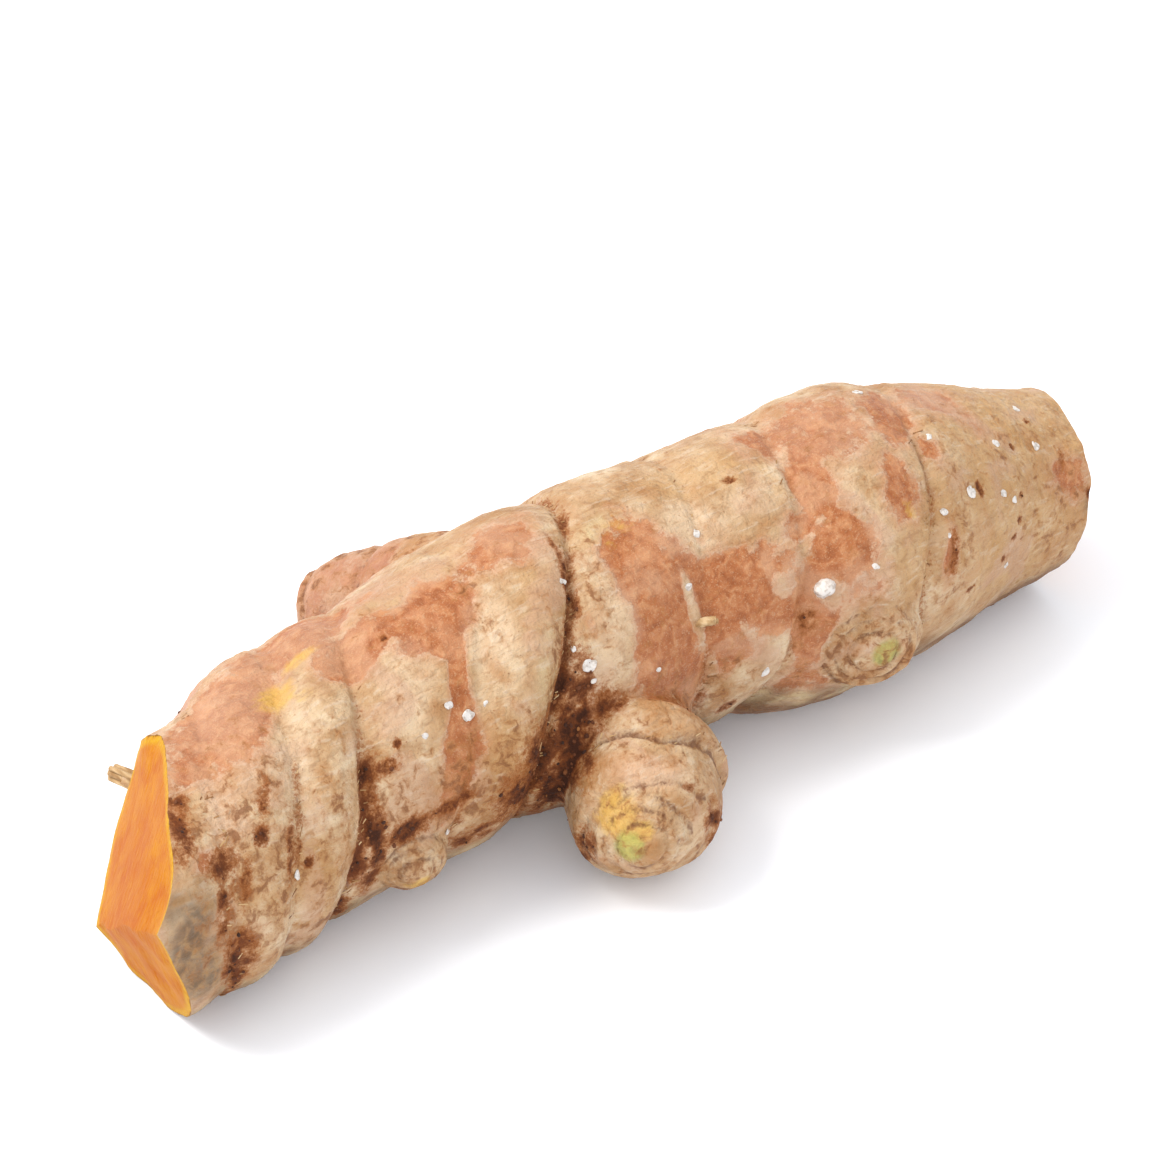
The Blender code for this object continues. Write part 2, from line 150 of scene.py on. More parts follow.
SOIL = [
    (-57.2, 108, 1.5, 1.9, 0.7, -0.3), (-58.2, 119, 1.1, 2.6, 0.7, -0.2), (-59.4, 129, 0.7, 1.0, 0.7, 0.0),
    (-56.0, 141, 1.8, 1.3, 0.75, 0.0), (-56.0, 190, 1.5, 3.4, 0.9, 0.0), (-49.7, 127, 0.7, 1.5, 0.75, -0.5),
    (-51.6, 141, 0.9, 0.9, 0.8, 0.0), (-49.2, 154, 0.7, 3.0, 0.7, -0.3), (-54.6, 156, 0.7, 2.2, 0.6, -0.4),
    (-57.0, 160, 0.8, 3.4, 0.7, -0.2), (-40.4, 181, 1.2, 4.6, 1.0, -0.1), (-39.4, 150, 1.1, 2.6, 0.9, -0.3),
    (-37.4, 149, 1.2, 0.8, 0.7, 0.0), (-37.0, 179, 2.2, 1.1, 0.85, 0.0), (-32.8, 178, 3.0, 0.7, 0.75, 0.0),
    (-23.5, 189, 4.2, 3.2, 0.85, 0.0), (-20.2, 200, 2.5, 5.0, 1.0, 0.0), (-18.6, 172, 1.8, 5.2, 1.1, -0.3),
    (-22.5, 176, 3.0, 2.6, 0.8, 0.0), (-15.2, 176, 2.0, 2.2, 0.8, 0.0), (-11.5, 183, 4.0, 1.1, 0.75, 0.0),
    (-14.9, 122, 0.5, 2.2, 0.9, -0.2), (-14.0, 112, 0.4, 3.0, 0.8, -0.2), (-16.6, 158, 0.8, 1.8, 0.8, -0.3),
    (6.8, 171, 1.0, 1.3, 0.6, 0.0), (-1.0, 203, 1.0, 1.0, 0.7, 0.0), (23.4, 166, 0.7, 2.2, 0.6, -0.3),
    (42.2, 137, 0.5, 1.4, 0.6, 0.0), (33.8, 165, 0.45, 0.45, 1.0, 0.0), (29.0, 145, 0.4, 0.9, 0.9, 0.0),
    (36.4, 128, 0.3, 0.5, 0.9, 0.0), (34.6, 153, 0.35, 0.35, 0.9, 0.0), (32.6, 172, 0.7, 0.3, 0.7, 0.0),
    (44.4, 164, 0.5, 0.9, 0.8, 0.0), (5.4, 104, 0.7, 0.35, 0.8, 0.0), (-29.0, 205, 3.0, 1.6, 0.7, 0.0),
    (-36.0, 142, 0.4, 0.4, 0.8, 0.0), (-31.8, 100, 0.35, 0.35, 0.9, 0.0), (40.6, 112, 0.35, 0.35, 0.8, 0.0),
    (-47.6, 165, 0.5, 0.5, 0.9, 0.0), (30.8, 180, 0.4, 0.4, 0.8, 0.0), (25.6, 186, 0.7, 0.3, 0.7, 0.0),
]
SCRUFFY = [
    (-54.0, 168, 6.0, 6.5, 1.0, -0.3), (-57.0, 116, 2.4, 3.4, 0.9, 0.0), (-50.5, 150, 3.0, 4.0, 0.7, 0.0),
    (-25.5, 172, 4.0, 3.8, 1.0, 0.0), (-24.0, 190, 5.0, 3.6, 1.0, 0.0), (-33.5, 186, 3.6, 3.0, 0.8, 0.0),
    (-15.5, 172, 2.8, 3.4, 0.8, 0.0), (-10.5, 181, 4.0, 2.2, 0.9, 0.0), (40.0, 152, 5.0, 8.0, 0.5, 0.0),
    (35.0, 128, 6.0, 6.0, 0.45, 0.0), (13.0, 191, 4.4, 3.4, 0.8, 0.0), (-47.0, 205, 6.0, 3.0, 0.8, 0.0),
    (-38.5, 165, 3.0, 5.0, 0.8, 0.0), (7.0, 186, 4.0, 3.0, 0.5, 0.0), (22.0, 178, 3.0, 4.0, 0.5, 0.0),
    (-52.5, 145, 5.0, 9.0, 0.8, -0.3), (-45.0, 165, 3.0, 8.0, 0.7, -0.4), (-31.0, 176, 6.0, 5.0, 0.9, 0.0),
    (-20.5, 160, 1.8, 7.0, 0.9, -0.35), (-6.0, 190, 8.0, 3.0, 0.8, 0.0), (40.0, 180, 8.0, 8.0, 0.6, 0.0),
    (-23.0, 105, 1.6, 5.0, 0.6, -0.3), (26.0, 150, 1.6, 9.0, 0.6, -0.3), (-12.5, 128, 1.4, 6.0, 0.7, -0.3),
]

# The side finger, the stub and the bud eyes. A finger has a bent axis, a length and rings; a bud has its
# place, the side it faces, its half width along the root, its lean, how flat it is and how green. The
# marks on the finger's near side are given as seen from in front: right and up of its tip.
VIEW_AZIMUTH = math.radians(-39.0)
VIEW_ELEVATION = math.radians(33.0)
SEEN_RIGHT = np.array([math.cos(VIEW_AZIMUTH), math.sin(VIEW_AZIMUTH), 0.0])
SEEN_UP = np.array([
    -math.sin(VIEW_AZIMUTH) * math.sin(VIEW_ELEVATION),
    math.cos(VIEW_AZIMUTH) * math.sin(VIEW_ELEVATION),
    math.cos(VIEW_ELEVATION),
])
FINGER_AXIS = ((-8.2, -7.8, 10.8), (-13.0, -15.4, 6.8), (-19.8, -23.3, 6.8))
FINGER_LENGTH = 21.0
FINGER_REACH = 8.6
# Each of its rings: how far back of the tip it is, and how dark. They bend back on the right side.
FINGER_RINGS = ((10.6, 0.5), (7.6, 1.2), (6.6, 0.4), (3.4, 0.8), (1.3, 0.45))
FINGER_BEND = 0.06
FINGER_PINK = [(0.3, 7.4, 3.2, 1.5)]
FINGER_YELLOW = [(-2.0, 3.8, 2.2, 2.3), (-0.6, 2.4, 1.8, 1.2)]
FINGER_SOIL = [(4.0, 6.1, 0.6, 0.5), (-5.4, 8.0, 1.4, 2.4), (-5.0, 0.8, 1.2, 1.8), (6.4, 2.4, 0.9, 2.4)]
# The stub's rings are measured from its start.
STUB_AXIS = ((-12.0, 5.0, 14.6), (-17.4, 13.6, 13.0), (-21.8, 22.0, 9.9))
STUB_LENGTH = 20.2
STUB_REACH = 7.4
STUB_RINGS = ((11.9, 0.6), (15.4, 0.4), (18.2, 0.8))
BUD_EYES = [
    # x, degrees, facing, half width, lean to +X, flatten, green
    (13.0, 190.5, 181.0, 4.35, -0.40, 0.94, 0.9),
    (-36.3, 198.0, 186.0, 3.0, -0.35, 0.90, 0.0),
    (7.5, 8.0, 8.0, 3.3, -0.25, 0.85, 0.4),
    (33.5, 352.0, 352.0, 2.6, -0.30, 0.9, 0.2),
    (-33.0, 348.0, 348.0, 2.7, 0.20, 0.9, 0.3),
]
BUD_SCALES = (1.03, 0.80, 0.52)
# The buds at the two shoots' tips: half width, lift, how far each looks up, and how green it is.
FINGER_BUD = (4.1, 1.0, 0.35, 0.9)
STUB_BUD = (2.6, 0.0, 0.0, 0.0)


def grain(points, size, seed=0.0):
    """Smooth noise between -1 and 1 at each point, with lumps of that size in millimetres."""
    return np.array([noise.noise(p) for p in (points / size + seed).tolist()])


def place_on_root(points):
    """Each point's x, degrees round the root, distance from the growth axis, and plain radius there."""
    x = points[:, 0]
    y, z, radius = (np.interp(x, LYING[:, 0], LYING[:, k]) for k in (1, 2, 3))
    up = points[:, 2] - z
    across = points[:, 1] - y
    return x, np.degrees(np.arctan2(up, across)) % 360, np.hypot(up, across), radius


def way_out(degrees):
    return np.array([0.0, math.cos(math.radians(degrees)), math.sin(math.radians(degrees))])


def skin_point(x, degrees, height=0.0):
    """The point of the plain skin at a place on the root."""
    y, z, radius = (np.interp(x, LYING[:, 0], LYING[:, k]) for k in (1, 2, 3))
    return np.array([x, y, z]) + way_out(degrees) * (radius + height)


def patches(x, degrees, rows):
    """Each place's strength in the listed patches, which falls evenly past their edges."""
    covered = np.full(len(x), -1.0)
    for at, side, half_length, half_width, strength, lean in rows:
        round_it = MEAN_RADIUS * np.radians((degrees - side + 180) % 360 - 180)
        reach = np.hypot((x - at - lean * round_it) / half_length, round_it / half_width)
        covered = np.maximum(covered, strength * np.clip(1.5 - reach, -0.5, 1))
    return covered


def ring_gaps(x, degrees):
    """For each ring, how far past it each place is, in millimetres, and the soil it holds there."""
    angle = np.radians(degrees)
    steps = np.arange(0, 360, 2)
    for (far, top, near, bottom), depth, soil in RINGS:
        wander = [
            noise.noise((1.6 * math.cos(a), 1.6 * math.sin(a), far)) for a in np.radians(steps)
        ]
        crossing = (
            (far + top + near + bottom) / 4
            + (far - near) / 2 * np.cos(angle)
            + (top - bottom) / 2 * np.sin(angle)
            + (far + near - top - bottom) / 4 * np.cos(2 * angle)
            + RING_WANDER * np.interp(degrees, steps, wander, period=360)
        )
        yield x - crossing, depth, np.interp(degrees, RING_SIDES, soil, period=360)


def along_shoot(points, axis, length):
    """How far along a bent shoot each point is, and how far from its axis."""
    start, bend, end = (np.array(p) for p in axis)
    nearest = np.full(len(points), 1e9)
    along = np.zeros(len(points))
    for t in np.linspace(0, 1, 91):
        centre = (1 - t) ** 2 * start + 2 * t * (1 - t) * bend + t**2 * end
        gap = np.linalg.norm(points - centre, axis=1)
        along = np.where(gap < nearest, t * length, along)
        nearest = np.minimum(nearest, gap)
    return along, nearest


def soft_step(value, low, high):
    t = np.clip((value - low) / (high - low), 0, 1)
    return t * t * (3 - 2 * t)


def seen_marks(points, rows):
    """Strength of the marks on the finger's near side."""
    from_tip = points - np.array(FINGER_AXIS[2])
    right, up = from_tip @ SEEN_RIGHT, from_tip @ SEEN_UP
    covered = np.full(len(points), -1.0)
    for at_right, at_up, half_width, half_height in rows:
        reach = np.hypot((right - at_right) / half_width, (up - at_up) / half_height)
        covered = np.maximum(covered, np.clip(1.5 - reach, -0.5, 1))
    return covered


def bud_frames():
    """Foot, way out, long side, half widths and greenness of each bud, with the two shoots' tips."""
    for x, degrees, facing, half_width, lean, flatten, green in BUD_EYES:
        way = Vector(way_out(facing) + np.array([lean, 0, 0])).normalized()
        long_side = (Vector((1, 0, 0)) - way * way.x).normalized()
        yield skin_point(x, degrees), way, long_side, half_width, half_width * flatten, green
    shoots = ((FINGER_AXIS, FINGER_BUD), (STUB_AXIS, STUB_BUD))
    for (_, bend, end), (half_width, lift, rise, green) in shoots:
        way = ((Vector(end) - Vector(bend)).normalized() + Vector((0, 0, rise))).normalized()
        long_side = way.cross(Vector((0, 0, 1))).normalized()
        yield np.array(end) + np.array([0, 0, lift]), way, long_side, half_width, half_width, green


def read_skin(points):
    """Everything the relief and the colours need to know about each point of the skin."""
    x, degrees, distance, radius = place_on_root(points)
    shown = soft_step(degrees, 46, 62) * (1 - soft_step(degrees, 222, 240))
    coarse = grain(points, 8.0, 3.1)
    middle = grain(points, 3.1, 7.7)
    fine = grain(points, 1.3, 1.9)
    finest = grain(points, 0.62, 5.3)
    lengthwise = points * np.array([0.45, 1.0, 1.0])
    ragged = 0.22 * middle + 0.26 * fine + 0.14 * finest

    finger, finger_gap = along_shoot(points, FINGER_AXIS, FINGER_LENGTH)
    stub, stub_gap = along_shoot(points, STUB_AXIS, STUB_LENGTH)
    outside = soft_step(distance - radius, 0.3, 1.2)
    on_finger = soft_step(FINGER_REACH - finger_gap, 0, 0.6) * soft_step(finger, 6.7, 7.5) * outside
    on_stub = soft_step(STUB_REACH - stub_gap, 0, 0.6) * soft_step(stub, 8.0, 9.5) * outside
    on_body = (1 - on_finger) * (1 - on_stub)
    hidden = 1 - shown

    bare = patches(x, degrees, BARE) - np.maximum(patches(x, degrees, PAPER), 0) * 0.8
    bare = shown * bare + hidden * (0.30 + 0.85 * coarse)
    pink = seen_marks(points, FINGER_PINK)
    bare = (
        on_body * (bare + ragged)
        + on_stub * (0.50 + 0.5 * middle + 0.2 * fine)
        + on_finger * (0.1 * middle + 0.3 * np.maximum(pink, 0))
    )
    pale = shown * patches(x, degrees, PALE) + 0.3 * middle + hidden * (0.35 + 0.6 * coarse)
    pale = np.maximum(pale, on_finger * (pink + 0.2 * middle))
    ochre = shown * patches(x, degrees, OCHRE) + 0.25 * middle + hidden * (0.35 - 0.5 * coarse)
    cream = patches(x, degrees, CREAM) + 0.2 * middle
    yellow = np.maximum(patches(x, degrees, YELLOW) * on_body, seen_marks(points, FINGER_YELLOW) * on_finger)
    yellow += 0.22 * fine + 0.2 * finest
    bruise = patches(x, degrees, BRUISE) + 0.2 * fine
    scruffy = np.maximum(shown * patches(x, degrees, SCRUFFY), 0) * on_body
    scruffy += hidden * np.clip(0.5 + 0.9 * grain(points, 6.0, 8.8), 0, 1) + 0.45 * on_finger + 0.4 * on_stub

    # Painted shade: the skin is coloured darker brown on its underside, towards the table, from about 192 to
    # 335 degrees round.
    underside_shade = soft_step(degrees, 192, 224) * (1 - soft_step(degrees, 300, 335)) * on_body
    underside_shade = np.clip(underside_shade * (0.8 + 0.7 * middle + 0.4 * fine), 0, 1)

    relief = 0.24 * grain(points, 6.0) + 0.12 * grain(points, 2.7, 9.2)
    seams = np.zeros(len(points))
    line_gap = np.full(len(points), 9.0)
    line_dark = np.zeros(len(points))
    fringe = np.zeros(len(points))
    papery_here = 1 - soft_step(bare, 0.2, 0.5)
    for past, depth, held in ring_gaps(x, degrees):
        uneven = np.clip(held * (0.8 + 0.8 * middle + 0.5 * fine), 0, 1.2)
        width = 0.35 + 0.75 * held
        seams = np.maximum(seams, uneven * np.exp(-(((past - 0.3 - 0.3 * fine) / width) ** 2)))
        worn = 0.35 + held
        relief -= on_body * depth * worn * np.exp(-(((past - 0.25 - 0.2 * fine) / 0.42) ** 2))
        relief += on_body * 0.17 * worn * np.exp(-(((past + 0.75) / 0.5) ** 2))
        relief += on_body * 0.035 * np.sin(past * 7.0 + fine) * np.exp(-((past / 2.8) ** 2))
        gap = np.where(on_body > 0.5, abs(past - 0.2 - 0.25 * fine), 9.0)
        fringe = np.maximum(fringe, on_body * held * papery_here * np.exp(-((gap / 0.6) ** 2)))
        line_dark = np.where(gap < line_gap, held, line_dark)
        line_gap = np.minimum(line_gap, gap)
    blots = patches(x, degrees, SOIL)
    soil = on_body * np.maximum(seams, blots * (0.85 + 0.6 * fine + 0.5 * finest))
    soil += on_body * hidden * np.clip(0.5 * middle + 0.45 * fine - 0.16, 0, 0.5)
    from_tip = points - np.array(FINGER_AXIS[2])
    to_right = np.maximum(from_tip @ SEEN_RIGHT, 0)
    finger_way = np.array((Vector(FINGER_AXIS[2]) - Vector(FINGER_AXIS[1])).normalized())
    to_tip = -(from_tip @ finger_way) - FINGER_BEND * to_right**2
    for along, shoot, rings in ((to_tip, on_finger, FINGER_RINGS), (stub, on_stub, STUB_RINGS)):
        for ring, dark in rings:
            past = ring - abs(along) + 0.55 * middle + 0.25 * fine
            relief -= shoot * 0.30 * dark * np.exp(-((past / 0.35) ** 2))
            relief += shoot * 0.16 * dark * np.exp(-(((past + 0.7) / 0.45) ** 2))
            gap = np.where(shoot > 0.5, abs(past), 9.0)
            fringe = np.maximum(fringe, 0.5 * shoot * (dark > 0.9) * np.exp(-((gap / 0.5) ** 2)))
            line_dark = np.where(gap < line_gap, 0.8 * dark, line_dark)
            line_gap = np.minimum(line_gap, gap)
    finger_soil = seen_marks(points, FINGER_SOIL) * (0.6 + 0.6 * fine)
    soil = np.maximum(soil, on_finger * finger_soil)

    green = np.zeros(len(points))
    in_bud = np.zeros(len(points))
    for foot, way, long_side, half_long, half_wide, greenness in bud_frames():
        from_foot = points - foot
        height = from_foot @ np.array(way)
        u = from_foot @ np.array(long_side) / half_long
        v = from_foot @ np.array(way.cross(long_side)) / half_wide
        out = np.hypot(u, v) + 0.07 * fine + 0.05 * middle
        near = soft_step(height, -4.0, -2.0) * (1 - soft_step(height, 3.5, 5.0))
        inside = near * (1 - soft_step(out, 0.95, 1.25))
        in_bud = np.maximum(in_bud, inside)
        for scale in BUD_SCALES:
            gap = np.where(near > 0.5, abs(out - scale) * half_long, 9.0)
            relief -= 0.20 * near * np.exp(-((gap / 0.3) ** 2))
            relief += 0.12 * near * np.exp(-((((out - scale + 0.13) * half_long) / 0.4) ** 2))
            line_dark = np.where(gap < line_gap, 0.58 + 0.5 * middle, line_dark)
            line_gap = np.minimum(line_gap, gap)
        tip = near * (1 - soft_step(np.hypot(u - 0.25, v), 0.16, 0.50))
        green = np.maximum(green, greenness * tip)
        soil *= 1 - 0.85 * tip
        soil *= 1 - 0.7 * near * (1 - soft_step(out, 0.85, 1.05))
    bare = bare * (1 - in_bud) - 0.1 * in_bud
    scruffy = np.maximum(scruffy, 0.8 * in_bud * on_body * (1 - green))
    papery = 1 - soft_step(bare, 0.40, 0.56)
    creases = 1 - 2 * abs(grain(lengthwise, 1.5, 4.4))
    relief += on_body * 0.07 * papery + papery * (0.06 * creases + 0.05 * finest)
    relief -= 0.12 * soft_step(blots, 0.5, 0.9) * on_body
    relief += 0.10 * finest * soft_step(soil, 0.3, 0.8)
    return {
        "relief": relief, "bare": bare, "pale": pale, "ochre": ochre, "cream": cream, "yellow": yellow,
        "bruise": bruise, "soil": soil, "green": green, "scruffy": scruffy, "stub": on_stub,
        "underside_shade": underside_shade,
        "line_gap": line_gap, "line_dark": line_dark, "fringe": fringe,
    }


def millimetres(mesh):
    """The mesh's vertices on the growth axes, in millimetres."""
    flat = np.empty(len(mesh.vertices) * 3)
    mesh.vertices.foreach_get("co", flat)
    return flat.reshape(-1, 3) / MM - GROWTH_ZERO


def set_millimetres(mesh, points):
    mesh.vertices.foreach_set("co", ((points + GROWTH_ZERO) * MM).ravel())
    mesh.update()


def new_piece(name, mesh):
    obj = bpy.data.objects.new(name, mesh)
    bpy.context.scene.collection.objects.link(obj)
    return obj


def made_plain(obj):
    """The object's mesh as its modifiers leave it, with the modifiers taken off."""
    graph = bpy.context.evaluated_depsgraph_get()
    mesh = bpy.data.meshes.new_from_object(obj.evaluated_get(graph))
    obj.modifiers.clear()
    obj.data = mesh
    return mesh


def knife_place(cut):
    point, way = KNIFE_CUTS[cut]
    return np.array(point), np.array(Vector(way).normalized())


whole = bpy.data.meshes.new("rhizome")
bm = bmesh.new()
bm.from_mesh(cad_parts["turmeric_root"].data)
bmesh.ops.remove_doubles(bm, verts=bm.verts, dist=SAME_POINT * MM)
bm.to_mesh(whole)
bm.free()
points = millimetres(whole)
spare = np.zeros(len(points))
for cut in KNIFE_CUTS:
    at, way = knife_place(cut)
    spare = np.where(abs((points - at) @ way) < ON_A_CUT, np.sign(way[0]) * CUT_SPARE, spare)
points[:, 0] += spare
set_millimetres(whole, points)

rhizome = new_piece("rhizome", whole)
remesh = rhizome.modifiers.new("even_skin", "REMESH")
remesh.mode = "VOXEL"
remesh.voxel_size = VOXEL * MM
smooth = rhizome.modifiers.new("no_facets", "SMOOTH")
smooth.factor = 0.5
smooth.iterations = SMOOTHINGS
skin_mesh = made_plain(rhizome)
normals = np.empty(len(skin_mesh.vertices) * 3)
skin_mesh.vertices.foreach_get("normal", normals)
points = millimetres(skin_mesh)
points += normals.reshape(-1, 3) * read_skin(points)["relief"][:, None]
points[:, 2] = np.maximum(points[:, 2], 0.0)
set_millimetres(skin_mesh, points)

# The papery skin. Fresh turmeric skin is a thin, dry, tan scale over salmon-orange living tissue. Where
# the scale has rubbed off, the eye sees soft orange patches with torn edges; soil stays in the rings.


def linear(hex_colour):
    """An sRGB hex colour as linear red, green, blue and alpha."""
    values = [int(hex_colour[i:i + 2], 16) / 255 for i in (1, 3, 5)]
    return (*[v / 12.92 if v <= 0.04045 else ((v + 0.055) / 1.055) ** 2.4 for v in values], 1.0)


def add(tree, kind, inputs=(), out=0, stops=(), **settings):
    """Adds a node with its settings and gives its output; an input given as a socket is linked."""
    node = tree.nodes.new(kind)
    for name, value in settings.items():
        setattr(node, name, value)
    for i, (position, colour) in enumerate(stops):
        element = node.color_ramp.elements[i] if i < 2 else node.color_ramp.elements.new(position)
        element.position = position
        element.color = linear(colour)
    for socket, value in dict(inputs).items():
        if isinstance(value, bpy.types.NodeSocket):
            tree.links.new(value, node.inputs[socket])
        else:
            node.inputs[socket].default_value = value
    return node.outputs[out] if len(node.outputs) else node


def new_material(name):
    material = bpy.data.materials.new(name)
    material.use_nodes = True
    material.node_tree.nodes.clear()
    return material, material.node_tree


def coat(tree, below, colour, field, low, high, most=1.0):
    """A coat of colour over what is below it, from none where the field is low to most where it is high."""
    share = add(
        tree, "ShaderNodeMapRange", {0: field, 1: low, 2: high, 3: 0.0, 4: most},
        interpolation_type="SMOOTHSTEP",
    )
    colour = linear(colour) if isinstance(colour, str) else colour
    return add(tree, "ShaderNodeMix", {0: share, 6: below, 7: colour}, out=2, data_type="RGBA")


skin, tree = new_material("papery_turmeric_skin")
place = add(tree, "ShaderNodeTexCoord", out=3)
# Noise scales are lumps a millimetre: 6 mm tints, 3.6 mm blotches, 1 mm grain, 0.3 mm pebbling, 0.13 mm
# dust, and fibres 0.6 mm wide that run 2.6 mm along the root.
in_mm = add(tree, "ShaderNodeMapping", {0: place, "Scale": (1000.0, 1000.0, 1000.0)})
fibre_way = add(tree, "ShaderNodeMapping", {0: place, "Scale": (380.0, 1700.0, 1700.0)})
told = {
    name: add(tree, "ShaderNodeAttribute", attribute_name=name, out=2)
    for name in (
        "bare", "pale", "ochre", "cream", "yellow", "bruise", "soil", "green", "scruffy", "stub",
        "underside_shade", "line_gap", "line_dark",
    )
}
tints = add(tree, "ShaderNodeTexNoise", {0: in_mm, "Scale": 0.16, "Detail": 3.0, "Distortion": 0.6})
broad = add(tree, "ShaderNodeTexNoise", {0: in_mm, "Scale": 0.28, "Detail": 4.0, "Distortion": 0.4})
small = add(tree, "ShaderNodeTexNoise", {0: in_mm, "Scale": 0.95, "Detail": 5.0, "Distortion": 0.6})
tiny = add(tree, "ShaderNodeTexNoise", {0: in_mm, "Scale": 3.0, "Detail": 4.0, "Roughness": 0.6})
dust = add(tree, "ShaderNodeTexNoise", {0: in_mm, "Scale": 7.5, "Detail": 2.0})
fibres = add(
    tree, "ShaderNodeTexNoise",
    {0: fibre_way, "Scale": 1.0, "Detail": 4.0, "Roughness": 0.6, "Distortion": 0.5},
)
stir = add(tree, "ShaderNodeTexNoise", {0: in_mm, "Scale": 0.8, "Detail": 3.0}, out=1)
stirred = add(
    tree, "ShaderNodeVectorMath", {0: stir, 1: (1.6, 1.6, 1.6), 2: in_mm}, operation="MULTIPLY_ADD"
)
cells = add(
    tree, "ShaderNodeTexVoronoi", {"Vector": stirred, "Scale": 0.95}, feature="DISTANCE_TO_EDGE",
)
mottle = add(
    tree, "ShaderNodeTexNoise",
    {0: stirred, "Scale": 0.8, "Detail": 5.0, "Roughness": 0.62, "Distortion": 0.3},
)

paper = add(
    tree, "ShaderNodeValToRGB", {0: broad},
    stops=((0.32, "#9F784F"), (0.70, "#C6B092"), (0.50, "#B59571")),
)
paper = coat(tree, paper, "#C6AC8E", told["pale"], 0.1, 0.9, 0.80)
paper = coat(tree, paper, "#B18958", told["ochre"], 0.2, 0.9, 0.6)
paper = coat(tree, paper, "#BDA880", told["cream"], 0.3, 0.8, 0.8)
paper = coat(tree, paper, "#B07858", told["bare"], -0.1, 0.6, 0.60)
paper = coat(tree, paper, "#8B6138", small, 0.50, 0.72, 0.50)
# Pale streaks where the lengthwise fibres stand up: pale fibre, and partly a painted highlight on the tops of
# the creases.
paper = coat(tree, paper, "#CCBDAA", fibres, 0.52, 0.70, 0.34)
paper = coat(tree, paper, "#8D633D", fibres, 0.44, 0.28, 0.45)
paper = coat(tree, paper, "#7C4F2E", tiny, 0.61, 0.74, 0.55)
paper = coat(tree, paper, "#B08A72", tints, 0.52, 0.64, 0.45)
paper = coat(tree, paper, "#A06E40", tints, 0.46, 0.34, 0.40)

salmon = add(
    tree, "ShaderNodeValToRGB", {0: small},
    stops=((0.32, "#8C4D24"), (0.68, "#B27B52"), (0.50, "#9E5E34")),
)
salmon = coat(tree, salmon, "#B58D72", told["pale"], 0.1, 0.9, 0.5)
salmon = coat(tree, salmon, "#BB9675", tiny, 0.55, 0.72, 0.50)
salmon = coat(tree, salmon, "#864722", fibres, 0.56, 0.76, 0.40)
salmon = coat(tree, salmon, "#C99873", broad, 0.50, 0.66, 0.30)
salmon = coat(tree, salmon, "#D3AC86", dust, 0.56, 0.72, 0.32)
salmon = coat(tree, salmon, "#BC9474", tints, 0.50, 0.62, 0.40)

torn = add(tree, "ShaderNodeMath", {0: small, 1: 0.45, 2: told["bare"]}, operation="MULTIPLY_ADD")
torn = add(tree, "ShaderNodeMath", {0: tiny, 1: 0.55, 2: torn}, operation="MULTIPLY_ADD")
torn = add(tree, "ShaderNodeMath", {0: dust, 1: 0.25, 2: torn}, operation="MULTIPLY_ADD")
rubbed = add(
    tree, "ShaderNodeMapRange", {0: torn, 1: 1.00, 2: 1.20}, interpolation_type="SMOOTHSTEP"
)
# A pale rim on the paper just before it tears away: paler lifted paper, and partly a painted highlight where
# its edge stands up.
colour = coat(tree, paper, "#D2BDA6", torn, 0.90, 1.04, 0.18)
colour = add(tree, "ShaderNodeMix", {0: rubbed, 6: colour, 7: salmon}, out=2, data_type="RGBA")
colour = coat(tree, colour, "#A77A64", told["stub"], 0.2, 1.0, 0.45)
stain = add(tree, "ShaderNodeMath", {0: fibres, 1: 0.9, 2: told["yellow"]}, operation="MULTIPLY_ADD")
colour = coat(tree, colour, "#C49B40", stain, 0.85, 1.45, 0.70)
bruised = add(
    tree, "ShaderNodeValToRGB", {0: small},
    stops=((0.38, "#38220F"), (0.62, "#86663F"), (0.50, "#5E4228")),
)
colour = coat(tree, colour, bruised, told["bruise"], 0.10, 1.10, 0.75)
green = add(
    tree, "ShaderNodeValToRGB", {0: small}, stops=((0.35, "#7E7A35"), (0.62, "#A7A052")),
)
colour = coat(tree, colour, green, told["green"], 0.15, 0.8, 0.85)
mottled = add(tree, "ShaderNodeMath", {0: told["scruffy"], 1: 0.19, 2: mottle}, operation="MULTIPLY_ADD")
colour = coat(tree, colour, "#9A6632", mottled, 0.55, 0.74, 0.55)
colour = coat(tree, colour, "#6A3812", mottled, 0.66, 0.80, 0.65)
# Painted shade: darker brown along the underside.
colour = coat(tree, colour, "#60380F", told["underside_shade"], 0.10, 1.0, 0.75)
muddy = add(tree, "ShaderNodeMath", {0: tiny, 1: 0.9, 2: told["soil"]}, operation="MULTIPLY_ADD")
muddy = add(tree, "ShaderNodeMath", {0: dust, 1: 0.4, 2: muddy}, operation="MULTIPLY_ADD")
colour = coat(tree, colour, "#8A4E1C", muddy, 0.78, 1.12, 0.80)
colour = coat(tree, colour, "#5C2A08", muddy, 1.00, 1.40, 0.90)
colour = coat(tree, colour, "#2C1003", muddy, 1.34, 1.80, 0.85)
line_width = add(tree, "ShaderNodeMath", {0: told["line_dark"], 1: 0.50, 2: -0.04}, operation="MULTIPLY_ADD")
line = add(tree, "ShaderNodeMath", {0: small, 1: 0.7, 2: told["line_gap"]}, operation="MULTIPLY_ADD")
line = add(tree, "ShaderNodeMath", {0: tiny, 1: 0.5, 2: line}, operation="MULTIPLY_ADD")
line = add(tree, "ShaderNodeMath", {0: line_width, 1: line}, operation="SUBTRACT")
colour = coat(tree, colour, "#5A2A0C", line, -0.58, -0.20, 0.72)

